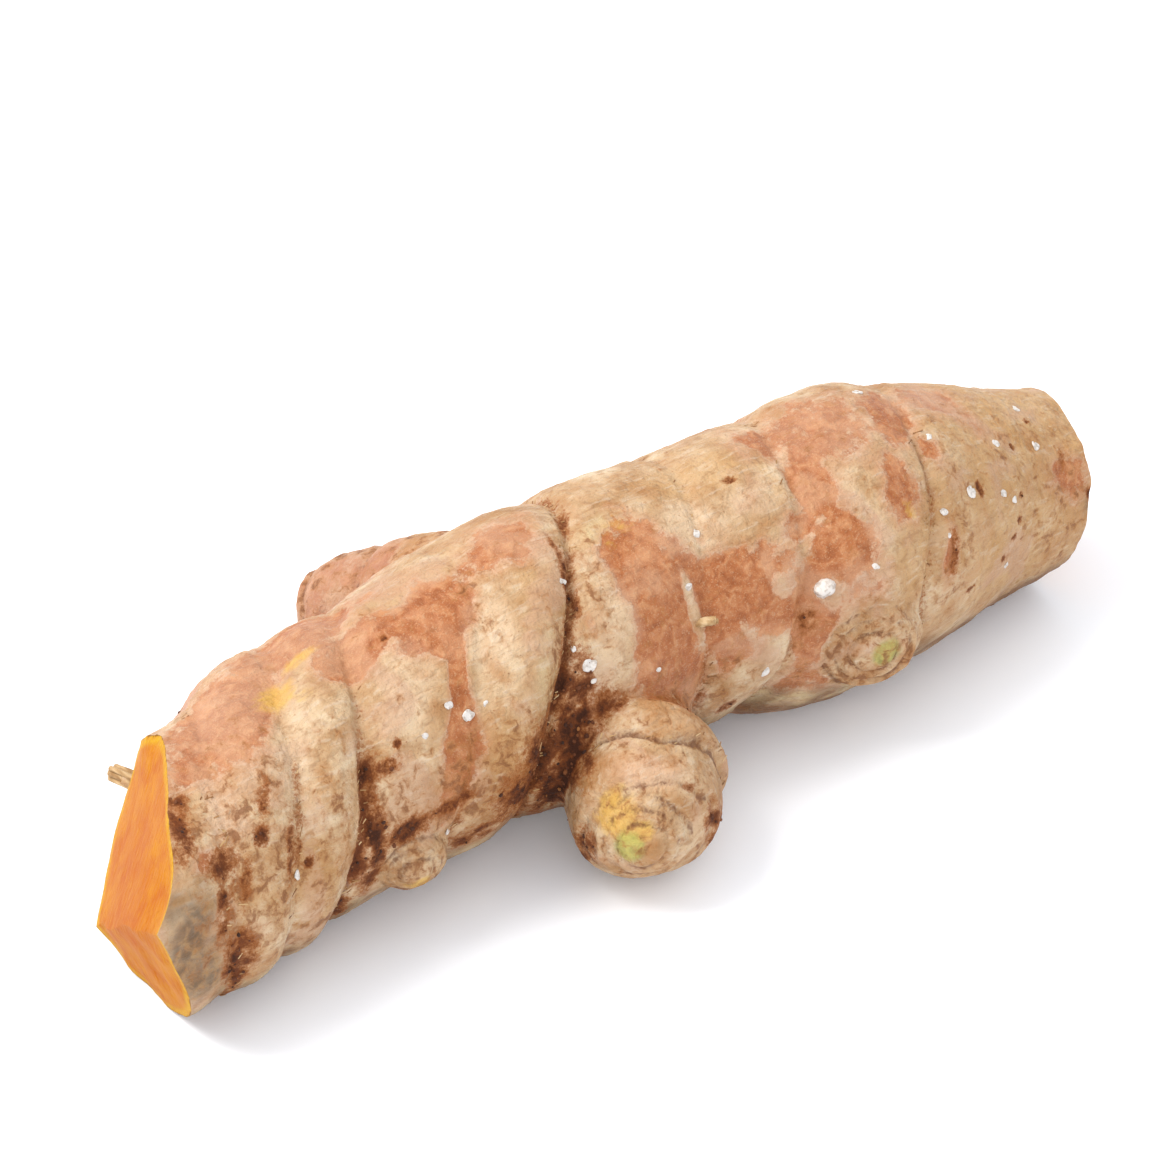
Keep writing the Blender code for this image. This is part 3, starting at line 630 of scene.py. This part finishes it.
papery = add(tree, "ShaderNodeMath", {0: 1.0, 1: rubbed}, operation="SUBTRACT")
domed = add(tree, "ShaderNodeMapRange", {0: cells, 1: 0.0, 2: 0.30}, interpolation_type="SMOOTHSTEP")
height = add(tree, "ShaderNodeMath", {0: domed, 1: papery}, operation="MULTIPLY")
height = add(tree, "ShaderNodeMath", {0: height, 1: 0.28}, operation="MULTIPLY")
height = add(tree, "ShaderNodeMath", {0: fibres, 1: 1.1, 2: height}, operation="MULTIPLY_ADD")
height = add(tree, "ShaderNodeMath", {0: small, 1: 1.7, 2: height}, operation="MULTIPLY_ADD")
height = add(tree, "ShaderNodeMath", {0: tiny, 1: 0.7, 2: height}, operation="MULTIPLY_ADD")
height = add(tree, "ShaderNodeMath", {0: papery, 1: 0.22, 2: height}, operation="MULTIPLY_ADD")
bump = add(tree, "ShaderNodeBump", {"Strength": 0.75, "Distance": 0.20 * MM, "Height": height})
roughness = add(tree, "ShaderNodeMapRange", {0: rubbed, 3: 0.56, 4: 0.46})
roughness = coat(tree, roughness, (0.88, 0.88, 0.88, 1.0), muddy, 0.9, 1.3)
surface = add(
    tree, "ShaderNodeBsdfPrincipled",
    {"Base Color": colour, "Roughness": roughness, "Normal": bump, "IOR": 1.45,
     "Specular IOR Level": 0.35, "Subsurface Weight": 0.06,
     "Subsurface Radius": (1.0, 0.5, 0.25), "Subsurface Scale": 1.2 * MM},
)
add(tree, "ShaderNodeOutputMaterial", {0: surface})

# The cut flesh. It is crisp, wet and bright orange-yellow, with a lighter yellow bark under the skin, a
# thin dark ring inside that, and an orange core dotted with fibres.
flesh, tree = new_material("cut_turmeric_flesh")
place = add(tree, "ShaderNodeTexCoord", out=3)
in_mm = add(tree, "ShaderNodeMapping", {0: place, "Scale": (1000.0, 1000.0, 1000.0)})
stroke_way = add(tree, "ShaderNodeMapping", {0: place, "Scale": (900.0, 2600.0, 700.0)})
depth = add(tree, "ShaderNodeAttribute", attribute_name="under_skin", out=2)
soft = add(tree, "ShaderNodeTexNoise", {0: in_mm, "Scale": 0.40, "Detail": 4.0, "Distortion": 0.5})
pulp = add(tree, "ShaderNodeTexNoise", {0: in_mm, "Scale": 2.4, "Detail": 5.0, "Roughness": 0.6})
strands = add(tree, "ShaderNodeTexNoise", {0: stroke_way, "Scale": 1.0, "Detail": 4.0})
sunk = add(tree, "ShaderNodeMath", {0: pulp, 1: 0.6, 2: depth}, operation="MULTIPLY_ADD")
core = add(
    tree, "ShaderNodeValToRGB", {0: soft},
    stops=((0.34, "#A75A04"), (0.66, "#B3710A"), (0.5, "#AD6606")),
)
core = coat(tree, core, "#A14D02", depth, 3.0, 8.0, 0.45)
core = coat(tree, core, "#984702", pulp, 0.54, 0.70, 0.50)
core = coat(tree, core, "#BA8316", strands, 0.55, 0.72, 0.40)
bark = coat(tree, linear("#B07706"), "#BA8E12", pulp, 0.35, 0.65)
colour = coat(tree, core, bark, sunk, 1.35, 0.85)
colour = coat(tree, colour, "#663E0A", sunk, 0.46, 0.30, 0.9)
height = add(tree, "ShaderNodeMath", {0: strands, 1: 1.2, 2: pulp}, operation="MULTIPLY_ADD")
bump = add(tree, "ShaderNodeBump", {"Strength": 0.7, "Distance": 0.18 * MM, "Height": height})
surface = add(
    tree, "ShaderNodeBsdfPrincipled",
    {"Base Color": colour, "Roughness": 0.50, "Normal": bump, "IOR": 1.42,
     "Specular IOR Level": 0.08, "Subsurface Weight": 0.10,
     "Subsurface Radius": (1.0, 0.45, 0.12), "Subsurface Scale": 1.6 * MM},
)
add(tree, "ShaderNodeOutputMaterial", {0: surface})

# The three knife faces. A kitchen knife took the ends off in flat strokes, so the flesh is cut clean,
# with the faint waves that a blade leaves. Each is cut with a block whose face is a fine grid.
KNIFE_WIDTH = 38.0
KNIFE_THICKNESS = 24.0
KNIFE_CELLS = 84
KNIFE_WAVES = 0.05
# Where a blade wandered from its plane: the blade, a place on it, how far out and over what reach.
WANDERS = (
    ("upper_left", (-62.0, -13.4, 17.0), -1.0, 5.0),
    ("upper_left", (-67.0, -15.8, 10.8), 0.65, 3.0),
    ("upper_left", (-51.4, 3.2, 18.6), 0.8, 3.4),
)
# How uneven each blade's face is, in millimetres over lumps of about 3 mm.
UNEVEN = {"upper_left": 0.10, "lower_left": 0.30, "right": 0.35}

skin_mesh.materials.clear()
skin_mesh.materials.append(skin)
for cut in KNIFE_CUTS:
    at, way = knife_place(cut)
    bm = bmesh.new()
    bmesh.ops.create_grid(bm, x_segments=KNIFE_CELLS, y_segments=KNIFE_CELLS, size=KNIFE_WIDTH / 2)
    turn = Vector((0, 0, 1)).rotation_difference(Vector(way)).to_matrix()
    for vertex in bm.verts:
        vertex.co.z = KNIFE_WAVES * noise.noise((vertex.co.x / 3.5, vertex.co.y / 0.8, way[1]))
        vertex.co.z += UNEVEN[cut] * noise.noise((vertex.co.x / 3.0, vertex.co.y / 3.0, way[2]))
        vertex.co = turn @ vertex.co + Vector(at)
        for blade_name, where, out_by, reach in WANDERS:
            if blade_name == cut:
                gap = (vertex.co - Vector(where)).length / reach
                vertex.co += Vector(way) * out_by * math.exp(-gap * gap)
        vertex.co = (vertex.co + Vector(GROWTH_ZERO)) * MM
    blade = bpy.data.meshes.new(cut)
    bm.to_mesh(blade)
    bm.free()
    blade.materials.append(flesh)
    knife = new_piece(cut, blade)
    block = knife.modifiers.new("block", "SOLIDIFY")
    block.thickness = KNIFE_THICKNESS * MM
    block.offset = 1.0
    made_plain(knife)
    stroke = rhizome.modifiers.new("stroke", "BOOLEAN")
    stroke.operation = "DIFFERENCE"
    stroke.solver = "EXACT"
    stroke.material_mode = "TRANSFER"
    stroke.object = knife
    made_plain(rhizome)
    bpy.data.objects.remove(knife)

mesh = rhizome.data
points = millimetres(mesh)
is_flesh = np.empty(len(mesh.polygons), np.int32)
mesh.polygons.foreach_get("material_index", is_flesh)
is_flesh = is_flesh == list(mesh.materials).index(flesh)
skin_vertices = set().union(*[p.vertices for p, cut in zip(mesh.polygons, is_flesh) if not cut])
flesh_vertices = set().union(*[p.vertices for p, cut in zip(mesh.polygons, is_flesh) if cut])
rim = sorted(skin_vertices & flesh_vertices)
tree_of_rim = kdtree.KDTree(len(rim))
for i, v in enumerate(rim):
    tree_of_rim.insert(points[v], i)
tree_of_rim.balance()
under_skin = np.zeros(len(points))
for v in sorted(flesh_vertices):
    under_skin[v] = tree_of_rim.find(points[v])[2]
read = read_skin(points)
read["under_skin"] = under_skin
read.pop("relief")
for name, values in read.items():
    mesh.attributes.new(name, "FLOAT", "POINT").data.foreach_set("value", values.astype(np.float32))
mesh.shade_smooth()
edge_of_cut = mesh.attributes.new("sharp_edge", "BOOLEAN", "EDGE")
rim_set = set(rim)
edge_of_cut.data.foreach_set(
    "value", [e.vertices[0] in rim_set and e.vertices[1] in rim_set for e in mesh.edges]
)
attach(rhizome, "root")
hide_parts("turmeric_root")

# The dry rootlets. A feeding root behind the left end has dried to a tan bundle of fibres, torn off
# square, and a small pale peg of another stands in the middle of the near side. Each fibre is a thin tube
# that follows its bundle and strays at its tip.
ROOTLETS = [
    # the bent axis's start, middle and end, the bundle's radius, and its number of fibres
    (((-48.7, 3.6, 10.3), (-49.4, 7.8, 10.6), (-50.3, 11.7, 10.3)), 0.80, 16),
    (((-4.3, -11.5, 18.0), (-3.5, -12.3, 18.6), (-2.8, -12.7, 18.5)), 0.34, 6),
]
FIBRE_RADIUS = 0.24
FIBRE_STEPS = 14
FIBRE_STRAY = 0.22
FIBRE_SEEDS = (0.5, 20.5, 40.5)


def new_growth(name, inputs):
    """An empty Geometry Nodes tree with its named inputs, and the sockets that give them."""
    group = bpy.data.node_groups.new(name, "GeometryNodeTree")
    group.interface.new_socket("Geometry", in_out="INPUT", socket_type="NodeSocketGeometry")
    group.interface.new_socket("Geometry", in_out="OUTPUT", socket_type="NodeSocketGeometry")
    for label, kind in inputs.items():
        group.interface.new_socket(label, in_out="INPUT", socket_type=kind)
    return group, group.nodes.new("NodeGroupInput").outputs


def grow(obj, group, values):
    """Runs a tree on the object, with its inputs set, and leaves the plain mesh that it makes."""
    modifier = obj.modifiers.new(group.name, "NODES")
    modifier.node_group = group
    for item in group.interface.items_tree:
        if item.in_out == "INPUT" and item.name in values:
            modifier[item.identifier] = values[item.name]
    return made_plain(obj)


fibre_points, fibre_edges = [], []
for axis, bundle_radius, fibre_count in ROOTLETS:
    start, bend, end = (np.array(p) for p in axis)
    for fibre in range(fibre_count):
        side = fibre * math.radians(137.5)
        off = bundle_radius * math.sqrt((fibre + 0.5) / fibre_count)
        reach = 1.0 - 0.10 * (0.5 + 0.5 * math.sin(fibre * 2.3))
        for step in range(FIBRE_STEPS):
            t = reach * step / (FIBRE_STEPS - 1)
            middle = (1 - t) ** 2 * start + 2 * t * (1 - t) * bend + t * t * end
            wander = [noise.noise((fibre * 5.0, 3.0 * t, seed)) for seed in FIBRE_SEEDS]
            stray = FIBRE_STRAY * bundle_radius * np.array(wander)
            spread = np.array([math.cos(side), 0.0, 0.9 * math.sin(side)]) * off + stray * (0.4 + t)
            fibre_points.append((middle + spread + GROWTH_ZERO) * MM)
            if step:
                fibre_edges.append((len(fibre_points) - 2, len(fibre_points) - 1))
fibre_lines = bpy.data.meshes.new("dry_rootlet")
fibre_lines.from_pydata(fibre_points, fibre_edges, [])

dry_fibre, tree = new_material("dry_root_fibre")
place = add(tree, "ShaderNodeTexCoord", out=3)
fibre_way = add(tree, "ShaderNodeMapping", {0: place, "Scale": (2200.0, 500.0, 2200.0)})
strands = add(tree, "ShaderNodeTexNoise", {0: fibre_way, "Scale": 1.0, "Detail": 3.0})
colour = add(
    tree, "ShaderNodeValToRGB", {0: strands},
    stops=((0.35, "#8E6A40"), (0.65, "#C2A780"), (0.5, "#AC8C62")),
)
surface = add(tree, "ShaderNodeBsdfPrincipled", {"Base Color": colour, "Roughness": 0.7, "IOR": 1.45})
add(tree, "ShaderNodeOutputMaterial", {0: surface})

fibre_tree, given = new_growth("root_fibres", {"Fibre radius": "NodeSocketFloat", "Sides": "NodeSocketInt"})
lines = add(fibre_tree, "GeometryNodeMeshToCurve", {0: given["Geometry"]})
ring = add(
    fibre_tree, "GeometryNodeCurvePrimitiveCircle",
    {"Resolution": given["Sides"], "Radius": given["Fibre radius"]},
)
tubes = add(fibre_tree, "GeometryNodeCurveToMesh", {0: lines, "Profile Curve": ring, "Fill Caps": True})
tubes = add(fibre_tree, "GeometryNodeRealizeInstances", {0: tubes})
tubes = add(fibre_tree, "GeometryNodeSetMaterial", {"Geometry": tubes, "Material": dry_fibre})
add(fibre_tree, "NodeGroupOutput", {0: tubes})

dry_rootlet = new_piece("dry_rootlet", fibre_lines)
grow(dry_rootlet, fibre_tree, {"Fibre radius": FIBRE_RADIUS * MM, "Sides": 7})
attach(dry_rootlet, "root")

# The shreds of leaf scale. Each ring is the scar of a dry leaf base, and short papery fibres of it are
# left standing along the scar. They are thin curled strips, 0.3 to 1 mm long, lying the root's way.
papery_shred, tree = new_material("dry_leaf_scale")
shade = add(tree, "ShaderNodeAttribute", attribute_name="shade", out=2)
colour = add(
    tree, "ShaderNodeValToRGB", {0: shade},
    stops=((0.0, "#70451E"), (1.0, "#C2A47A"), (0.4, "#8C6338"), (0.7, "#A88252")),
)
surface = add(tree, "ShaderNodeBsdfPrincipled", {"Base Color": colour, "Roughness": 0.65, "IOR": 1.45})
add(tree, "ShaderNodeOutputMaterial", {0: surface})

shred_tree, given = new_growth("scale_shreds", {
    "Shreds per square metre": "NodeSocketFloat", "Shortest": "NodeSocketFloat",
    "Longest": "NodeSocketFloat", "Width": "NodeSocketFloat", "Curl": "NodeSocketFloat",
    "Seed": "NodeSocketInt",
})
scar = add(shred_tree, "GeometryNodeInputNamedAttribute", {0: "fringe"}, data_type="FLOAT")
on_skin = add(shred_tree, "GeometryNodeInputNamedAttribute", {0: "under_skin"}, data_type="FLOAT")
on_skin = add(shred_tree, "ShaderNodeMath", {0: on_skin, 1: 0.001}, operation="LESS_THAN")
crowd = add(
    shred_tree, "ShaderNodeMath", {0: scar, 1: given["Shreds per square metre"]}, operation="MULTIPLY"
)
dots = add(
    shred_tree, "GeometryNodeDistributePointsOnFaces",
    {"Mesh": given["Geometry"], "Selection": on_skin, "Density": crowd, "Seed": given["Seed"]},
)
strip = add(
    shred_tree, "GeometryNodeMeshCube",
    {"Size": (1.0, 1.0, 1.0), "Vertices X": 4, "Vertices Y": 2, "Vertices Z": 2},
)
at = add(shred_tree, "GeometryNodeInputPosition")
along = add(shred_tree, "ShaderNodeSeparateXYZ", {0: at})
rise = add(shred_tree, "ShaderNodeMath", {0: along, 1: along}, operation="MULTIPLY")
rise = add(shred_tree, "ShaderNodeMath", {0: rise, 1: given["Curl"]}, operation="MULTIPLY")
rise = add(shred_tree, "ShaderNodeCombineXYZ", {2: rise})
strip = add(shred_tree, "GeometryNodeSetPosition", {"Geometry": strip, "Offset": rise})
length = add(
    shred_tree, "FunctionNodeRandomValue",
    {2: given["Shortest"], 3: given["Longest"], "Seed": given["Seed"]}, out=1, data_type="FLOAT",
)
thin = add(shred_tree, "ShaderNodeMath", {0: given["Width"], 1: 0.3}, operation="MULTIPLY")
strip_size = add(shred_tree, "ShaderNodeCombineXYZ", {0: length, 1: given["Width"], 2: thin})
turned = add(
    shred_tree, "FunctionNodeAlignRotationToVector", {"Vector": dots.node.outputs["Normal"]}, axis="Z"
)
turned = add(
    shred_tree, "FunctionNodeAlignRotationToVector",
    {"Rotation": turned, "Vector": (1.0, 0.0, 0.15)}, axis="X", pivot_axis="Z",
)
stray = add(
    shred_tree, "FunctionNodeRandomValue",
    {0: (-0.2, -0.15, -0.8), 1: (0.2, 0.15, 0.8), "Seed": 31}, data_type="FLOAT_VECTOR",
)
turned = add(
    shred_tree, "FunctionNodeRotateRotation", {"Rotation": turned, "Rotate By": stray},
    rotation_space="LOCAL",
)
shreds = add(
    shred_tree, "GeometryNodeInstanceOnPoints",
    {"Points": dots, "Instance": strip, "Rotation": turned, "Scale": strip_size},
)
tint = add(shred_tree, "FunctionNodeRandomValue", {2: 0.0, 3: 1.0, "Seed": 17}, out=1, data_type="FLOAT")
shreds = add(
    shred_tree, "GeometryNodeStoreNamedAttribute",
    {"Geometry": shreds, "Name": "shade", "Value": tint}, data_type="FLOAT", domain="INSTANCE",
)
shreds = add(shred_tree, "GeometryNodeRealizeInstances", {0: shreds})
shreds = add(shred_tree, "GeometryNodeSetMaterial", {"Geometry": shreds, "Material": papery_shred})
add(shred_tree, "NodeGroupOutput", {0: shreds})

scale_shreds = new_piece("scale_shreds", rhizome.data.copy())
grow(scale_shreds, shred_tree, {
    "Shreds per square metre": 1.9e6, "Shortest": 0.3 * MM, "Longest": 1.0 * MM, "Width": 0.11 * MM,
    "Curl": 1.6, "Seed": 5,
})
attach(scale_shreds, "root")

# The dried sap. Where the skin was nicked, clear sap welled out and dried to hard white beads, and thin
# smears of it dried to flat flecks. Each is a ball pressed flat where it sits on the skin: its x, degrees
# round, radius in millimetres, and height as a share of that radius.
SAP = [
    (8.7, 159, 0.95, 0.85), (13.7, 156.5, 0.32, 0.5), (-3.9, 141, 0.42, 0.25),
    (-0.7, 122, 0.55, 0.18), (-16.2, 153, 0.66, 0.2), (-9.5, 167, 0.28, 0.4), (2.2, 188, 0.55, 0.20),
    (24.5, 82, 0.55, 0.18), (26.3, 118, 0.45, 0.20), (34.5, 126, 0.50, 0.20), (41.0, 101, 0.50, 0.20),
    (39.6, 129, 0.55, 0.20), (27.8, 145.5, 0.70, 0.20), (32.1, 150, 0.48, 0.20), (33.4, 154, 0.40, 0.25),
    (23.5, 148.5, 0.35, 0.3), (23.2, 158, 0.30, 0.3), (31.6, 185.6, 0.42, 0.20), (-28.9, 146.5, 0.62, 0.22),
    (-30.4, 139, 0.45, 0.18), (-27.0, 146, 0.30, 0.6), (-33.5, 145, 0.28, 0.3), (-49.0, 167, 0.60, 0.18),
    (-32.6, 192, 0.42, 0.20), (-15.2, 118, 0.35, 0.3), (-17.0, 144, 0.35, 0.3), (-16.0, 160, 0.30, 0.3),
    (-30.0, 40, 0.6, 0.3), (5.0, 330, 0.7, 0.6), (20.0, 20, 0.5, 0.25), (-45.0, 10, 0.5, 0.25),
]
SAP_SEARCH = 9.0

skin_finder = bvhtree.BVHTree.FromPolygons(
    points.tolist(), [tuple(p.vertices) for p in mesh.polygons]
)
sap_spots = bpy.data.meshes.new("sap_beads")
spots, outs = [], []
for x, degrees, radius, flat in SAP:
    start = Vector(skin_point(x, degrees, SAP_SEARCH))
    hit, normal, _, _ = skin_finder.ray_cast(start, Vector(-way_out(degrees)))
    spots.append((np.array(hit) + GROWTH_ZERO) * MM)
    outs.append(normal)
sap_spots.from_pydata(spots, [], [])
sap_spots.attributes.new("out", "FLOAT_VECTOR", "POINT").data.foreach_set("vector", np.ravel(outs))
sap_spots.attributes.new("radius", "FLOAT", "POINT").data.foreach_set("value", [s[2] for s in SAP])
sap_spots.attributes.new("flat", "FLOAT", "POINT").data.foreach_set("value", [s[3] for s in SAP])

dried_sap, tree = new_material("dried_white_sap")
place = add(tree, "ShaderNodeTexCoord", out=3)
in_mm = add(tree, "ShaderNodeMapping", {0: place, "Scale": (1000.0, 1000.0, 1000.0)})
chalk = add(tree, "ShaderNodeTexNoise", {0: in_mm, "Scale": 2.2, "Detail": 3.0})
colour = coat(tree, linear("#CFC9C4"), "#9C8E82", chalk, 0.46, 0.66, 0.7)
bump = add(tree, "ShaderNodeBump", {"Strength": 0.5, "Distance": 0.15 * MM, "Height": chalk})
surface = add(
    tree, "ShaderNodeBsdfPrincipled",
    {"Base Color": colour, "Roughness": 0.45, "Normal": bump, "IOR": 1.5,
     "Subsurface Weight": 0.3, "Subsurface Radius": (1.0, 0.9, 0.8), "Subsurface Scale": 0.5 * MM},
)
add(tree, "ShaderNodeOutputMaterial", {0: surface})

sap_tree, given = new_growth(
    "sap_beads", {"Bead size": "NodeSocketFloat", "Lumpiness": "NodeSocketFloat", "Seed": "NodeSocketInt"}
)
radius = add(sap_tree, "GeometryNodeInputNamedAttribute", {0: "radius"}, data_type="FLOAT")
flat = add(sap_tree, "GeometryNodeInputNamedAttribute", {0: "flat"}, data_type="FLOAT")
outward = add(sap_tree, "GeometryNodeInputNamedAttribute", {0: "out"}, data_type="FLOAT_VECTOR")
wide = add(sap_tree, "ShaderNodeMath", {0: radius, 1: given["Bead size"]}, operation="MULTIPLY")
high = add(sap_tree, "ShaderNodeMath", {0: wide, 1: flat}, operation="MULTIPLY")
long_way = add(
    sap_tree, "FunctionNodeRandomValue", {2: 0.8, 3: 1.3, "Seed": given["Seed"]}, out=1, data_type="FLOAT"
)
long_way = add(sap_tree, "ShaderNodeMath", {0: wide, 1: long_way}, operation="MULTIPLY")
bead_scale = add(sap_tree, "ShaderNodeCombineXYZ", {0: long_way, 1: wide, 2: high})
turned = add(sap_tree, "FunctionNodeAlignRotationToVector", {"Vector": outward}, axis="Z")
bead = add(sap_tree, "GeometryNodeMeshIcoSphere", {"Radius": 1.0, "Subdivisions": 3})
beads = add(
    sap_tree, "GeometryNodeInstanceOnPoints",
    {"Points": given["Geometry"], "Instance": bead, "Rotation": turned, "Scale": bead_scale},
)
beads = add(sap_tree, "GeometryNodeRealizeInstances", {0: beads})
where = add(sap_tree, "GeometryNodeInputPosition")
lumps = add(sap_tree, "ShaderNodeTexNoise", {0: where, "Scale": 1400.0, "Detail": 1.0}, out=1)
lumps = add(sap_tree, "ShaderNodeVectorMath", {0: lumps, 1: (0.5, 0.5, 0.5)}, operation="SUBTRACT")
lumps = add(sap_tree, "ShaderNodeVectorMath", {0: lumps, "Scale": given["Lumpiness"]}, operation="SCALE")
beads = add(sap_tree, "GeometryNodeSetPosition", {"Geometry": beads, "Offset": lumps})
beads = add(sap_tree, "GeometryNodeSetShadeSmooth", {0: beads})
beads = add(sap_tree, "GeometryNodeSetMaterial", {"Geometry": beads, "Material": dried_sap})
add(sap_tree, "NodeGroupOutput", {0: beads})

sap_beads = new_piece("sap_beads", sap_spots)
grow(sap_beads, sap_tree, {"Bead size": 0.88 * MM, "Lumpiness": 0.55 * MM, "Seed": 3})
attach(sap_beads, "root")

# The soil. Crumbs of red-brown garden soil are still stuck in the leaf-scar rings and the folds by the
# finger; they are loose grains of 0.1 to 0.6 mm, dull and darker where they are damp.
soil_grains, tree = new_material("damp_garden_soil")
shade = add(tree, "ShaderNodeAttribute", attribute_name="shade", out=2)
colour = add(
    tree, "ShaderNodeValToRGB", {0: shade},
    stops=((0.0, "#2E1304"), (1.0, "#8E5A2C"), (0.45, "#52270C"), (0.8, "#703E18")),
)
surface = add(tree, "ShaderNodeBsdfPrincipled", {"Base Color": colour, "Roughness": 0.85, "IOR": 1.5})
add(tree, "ShaderNodeOutputMaterial", {0: surface})

soil_tree, given = new_growth("soil_crumbs", {
    "Crumbs per square metre": "NodeSocketFloat", "Smallest": "NodeSocketFloat",
    "Largest": "NodeSocketFloat", "Seed": "NodeSocketInt",
})
held = add(soil_tree, "GeometryNodeInputNamedAttribute", {0: "soil"}, data_type="FLOAT")
on_skin = add(soil_tree, "GeometryNodeInputNamedAttribute", {0: "under_skin"}, data_type="FLOAT")
on_skin = add(soil_tree, "ShaderNodeMath", {0: on_skin, 1: 0.001}, operation="LESS_THAN")
crowd = add(soil_tree, "ShaderNodeMapRange", {0: held, 1: 0.45, 2: 1.0, 3: 0.0, 4: 1.0})
crowd = add(
    soil_tree, "ShaderNodeMath", {0: crowd, 1: given["Crumbs per square metre"]}, operation="MULTIPLY"
)
dots = add(
    soil_tree, "GeometryNodeDistributePointsOnFaces",
    {"Mesh": given["Geometry"], "Selection": on_skin, "Density": crowd, "Seed": given["Seed"]},
)
size = add(
    soil_tree, "FunctionNodeRandomValue",
    {2: given["Smallest"], 3: given["Largest"], "Seed": given["Seed"]}, out=1, data_type="FLOAT",
)
spread = add(
    soil_tree, "FunctionNodeRandomValue", {0: (0.6, 0.6, 0.6), 1: (1.3, 1.3, 1.0), "Seed": 5},
    data_type="FLOAT_VECTOR",
)
spread = add(soil_tree, "ShaderNodeVectorMath", {0: spread, "Scale": size}, operation="SCALE")
tumbled = add(
    soil_tree, "FunctionNodeRandomValue", {0: (0.0, 0.0, 0.0), 1: (6.28, 6.28, 6.28), "Seed": 9},
    data_type="FLOAT_VECTOR",
)
crumb = add(soil_tree, "GeometryNodeMeshIcoSphere", {"Radius": 1.0, "Subdivisions": 1})
crumbs = add(
    soil_tree, "GeometryNodeInstanceOnPoints",
    {"Points": dots, "Instance": crumb, "Rotation": tumbled, "Scale": spread},
)
tint = add(soil_tree, "FunctionNodeRandomValue", {2: 0.0, 3: 1.0, "Seed": 21}, out=1, data_type="FLOAT")
crumbs = add(
    soil_tree, "GeometryNodeStoreNamedAttribute",
    {"Geometry": crumbs, "Name": "shade", "Value": tint}, data_type="FLOAT", domain="INSTANCE",
)
crumbs = add(soil_tree, "GeometryNodeRealizeInstances", {0: crumbs})
crumbs = add(soil_tree, "GeometryNodeSetMaterial", {"Geometry": crumbs, "Material": soil_grains})
add(soil_tree, "NodeGroupOutput", {0: crumbs})

soil_crumbs = new_piece("soil_crumbs", rhizome.data.copy())
grow(soil_crumbs, soil_tree, {
    "Crumbs per square metre": 2.2e6, "Smallest": 0.07 * MM, "Largest": 0.24 * MM, "Seed": 11,
})
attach(soil_crumbs, "root")

# The table top and the light. The sweep is a plain white laminate, a hair below the root, that glows
# faintly as an overlit white ground does. A soft key stands high at the back left, with a broad fill in
# front, as in a small studio tent.
FLOOR_HALF = 1.6
FLOOR_GAP = 0.02 * MM
FLOOR_GLOW = 0.08
TENT_LIGHT = 1.12
bm = bmesh.new()
lowered = Matrix.Translation((0.0, 0.0, -FLOOR_GAP))
bmesh.ops.create_grid(bm, x_segments=1, y_segments=1, size=FLOOR_HALF, matrix=lowered)
floor_mesh = bpy.data.meshes.new("table_top")
bm.to_mesh(floor_mesh)
bm.free()
floor = new_piece("table_top", floor_mesh)
white, tree = new_material("white_laminate")
surface = add(
    tree, "ShaderNodeBsdfPrincipled",
    {"Base Color": linear("#F0F4FB"), "Roughness": 0.6, "IOR": 1.45,
     "Emission Color": linear("#FFFFFF"), "Emission Strength": FLOOR_GLOW},
)
add(tree, "ShaderNodeOutputMaterial", {0: surface})
floor_mesh.materials.append(white)

scene = bpy.context.scene
scene.view_settings.view_transform = "Standard"
world = bpy.data.worlds.new("tent")
scene.world = world
world.use_nodes = True
world.node_tree.nodes["Background"].inputs[0].default_value = linear("#FFFFFF")
world.node_tree.nodes["Background"].inputs[1].default_value = TENT_LIGHT


def soft_box(name, place, power, size, colour):
    """A square area light at place, in metres, turned to the root."""
    light = bpy.data.lights.new(name, "AREA")
    light.energy = power
    light.size = size
    light.color = linear(colour)[:3]
    lamp = bpy.data.objects.new(name, light)
    scene.collection.objects.link(lamp)
    lamp.location = place
    lamp.rotation_euler = (-Vector(place)).to_track_quat("-Z", "Y").to_euler()


soft_box("key", (-0.45, 0.35, 0.75), 8.0, 0.5, "#FFFAF2")
soft_box("fill", (-0.5, -0.7, 0.5), 2.0, 0.6, "#FFFFFF")

# The camera. It is a long lens at the photograph's angle, 39 degrees round from the root's near side and
# 33 above the table, framed so that the growth zero falls on its own place in the picture.
VIEW_DISTANCE = 450.0
PHOTO_WIDTH_PX = 1170
ROOT_ZERO_PX = (646, 720)
PX_PER_MM = 11.0
right = Vector(SEEN_RIGHT)
back = Vector((
    math.sin(VIEW_AZIMUTH) * math.cos(VIEW_ELEVATION),
    -math.cos(VIEW_AZIMUTH) * math.cos(VIEW_ELEVATION),
    math.sin(VIEW_ELEVATION),
))
up = back.cross(right)
middle_px = PHOTO_WIDTH_PX / 2
target = right * (middle_px - ROOT_ZERO_PX[0]) / PX_PER_MM + up * (ROOT_ZERO_PX[1] - middle_px) / PX_PER_MM
eye = (target + back * VIEW_DISTANCE + Vector(GROWTH_ZERO)) * MM
camera_data = bpy.data.cameras.new("camera")
camera_data.sensor_width = 36.0
camera_data.lens = camera_data.sensor_width * VIEW_DISTANCE * PX_PER_MM / PHOTO_WIDTH_PX
camera_data.clip_start = 0.01
camera = bpy.data.objects.new("camera", camera_data)
scene.collection.objects.link(camera)
camera.matrix_world = Matrix.Translation(eye) @ Matrix((right, up, back)).transposed().to_4x4()
scene.camera = camera
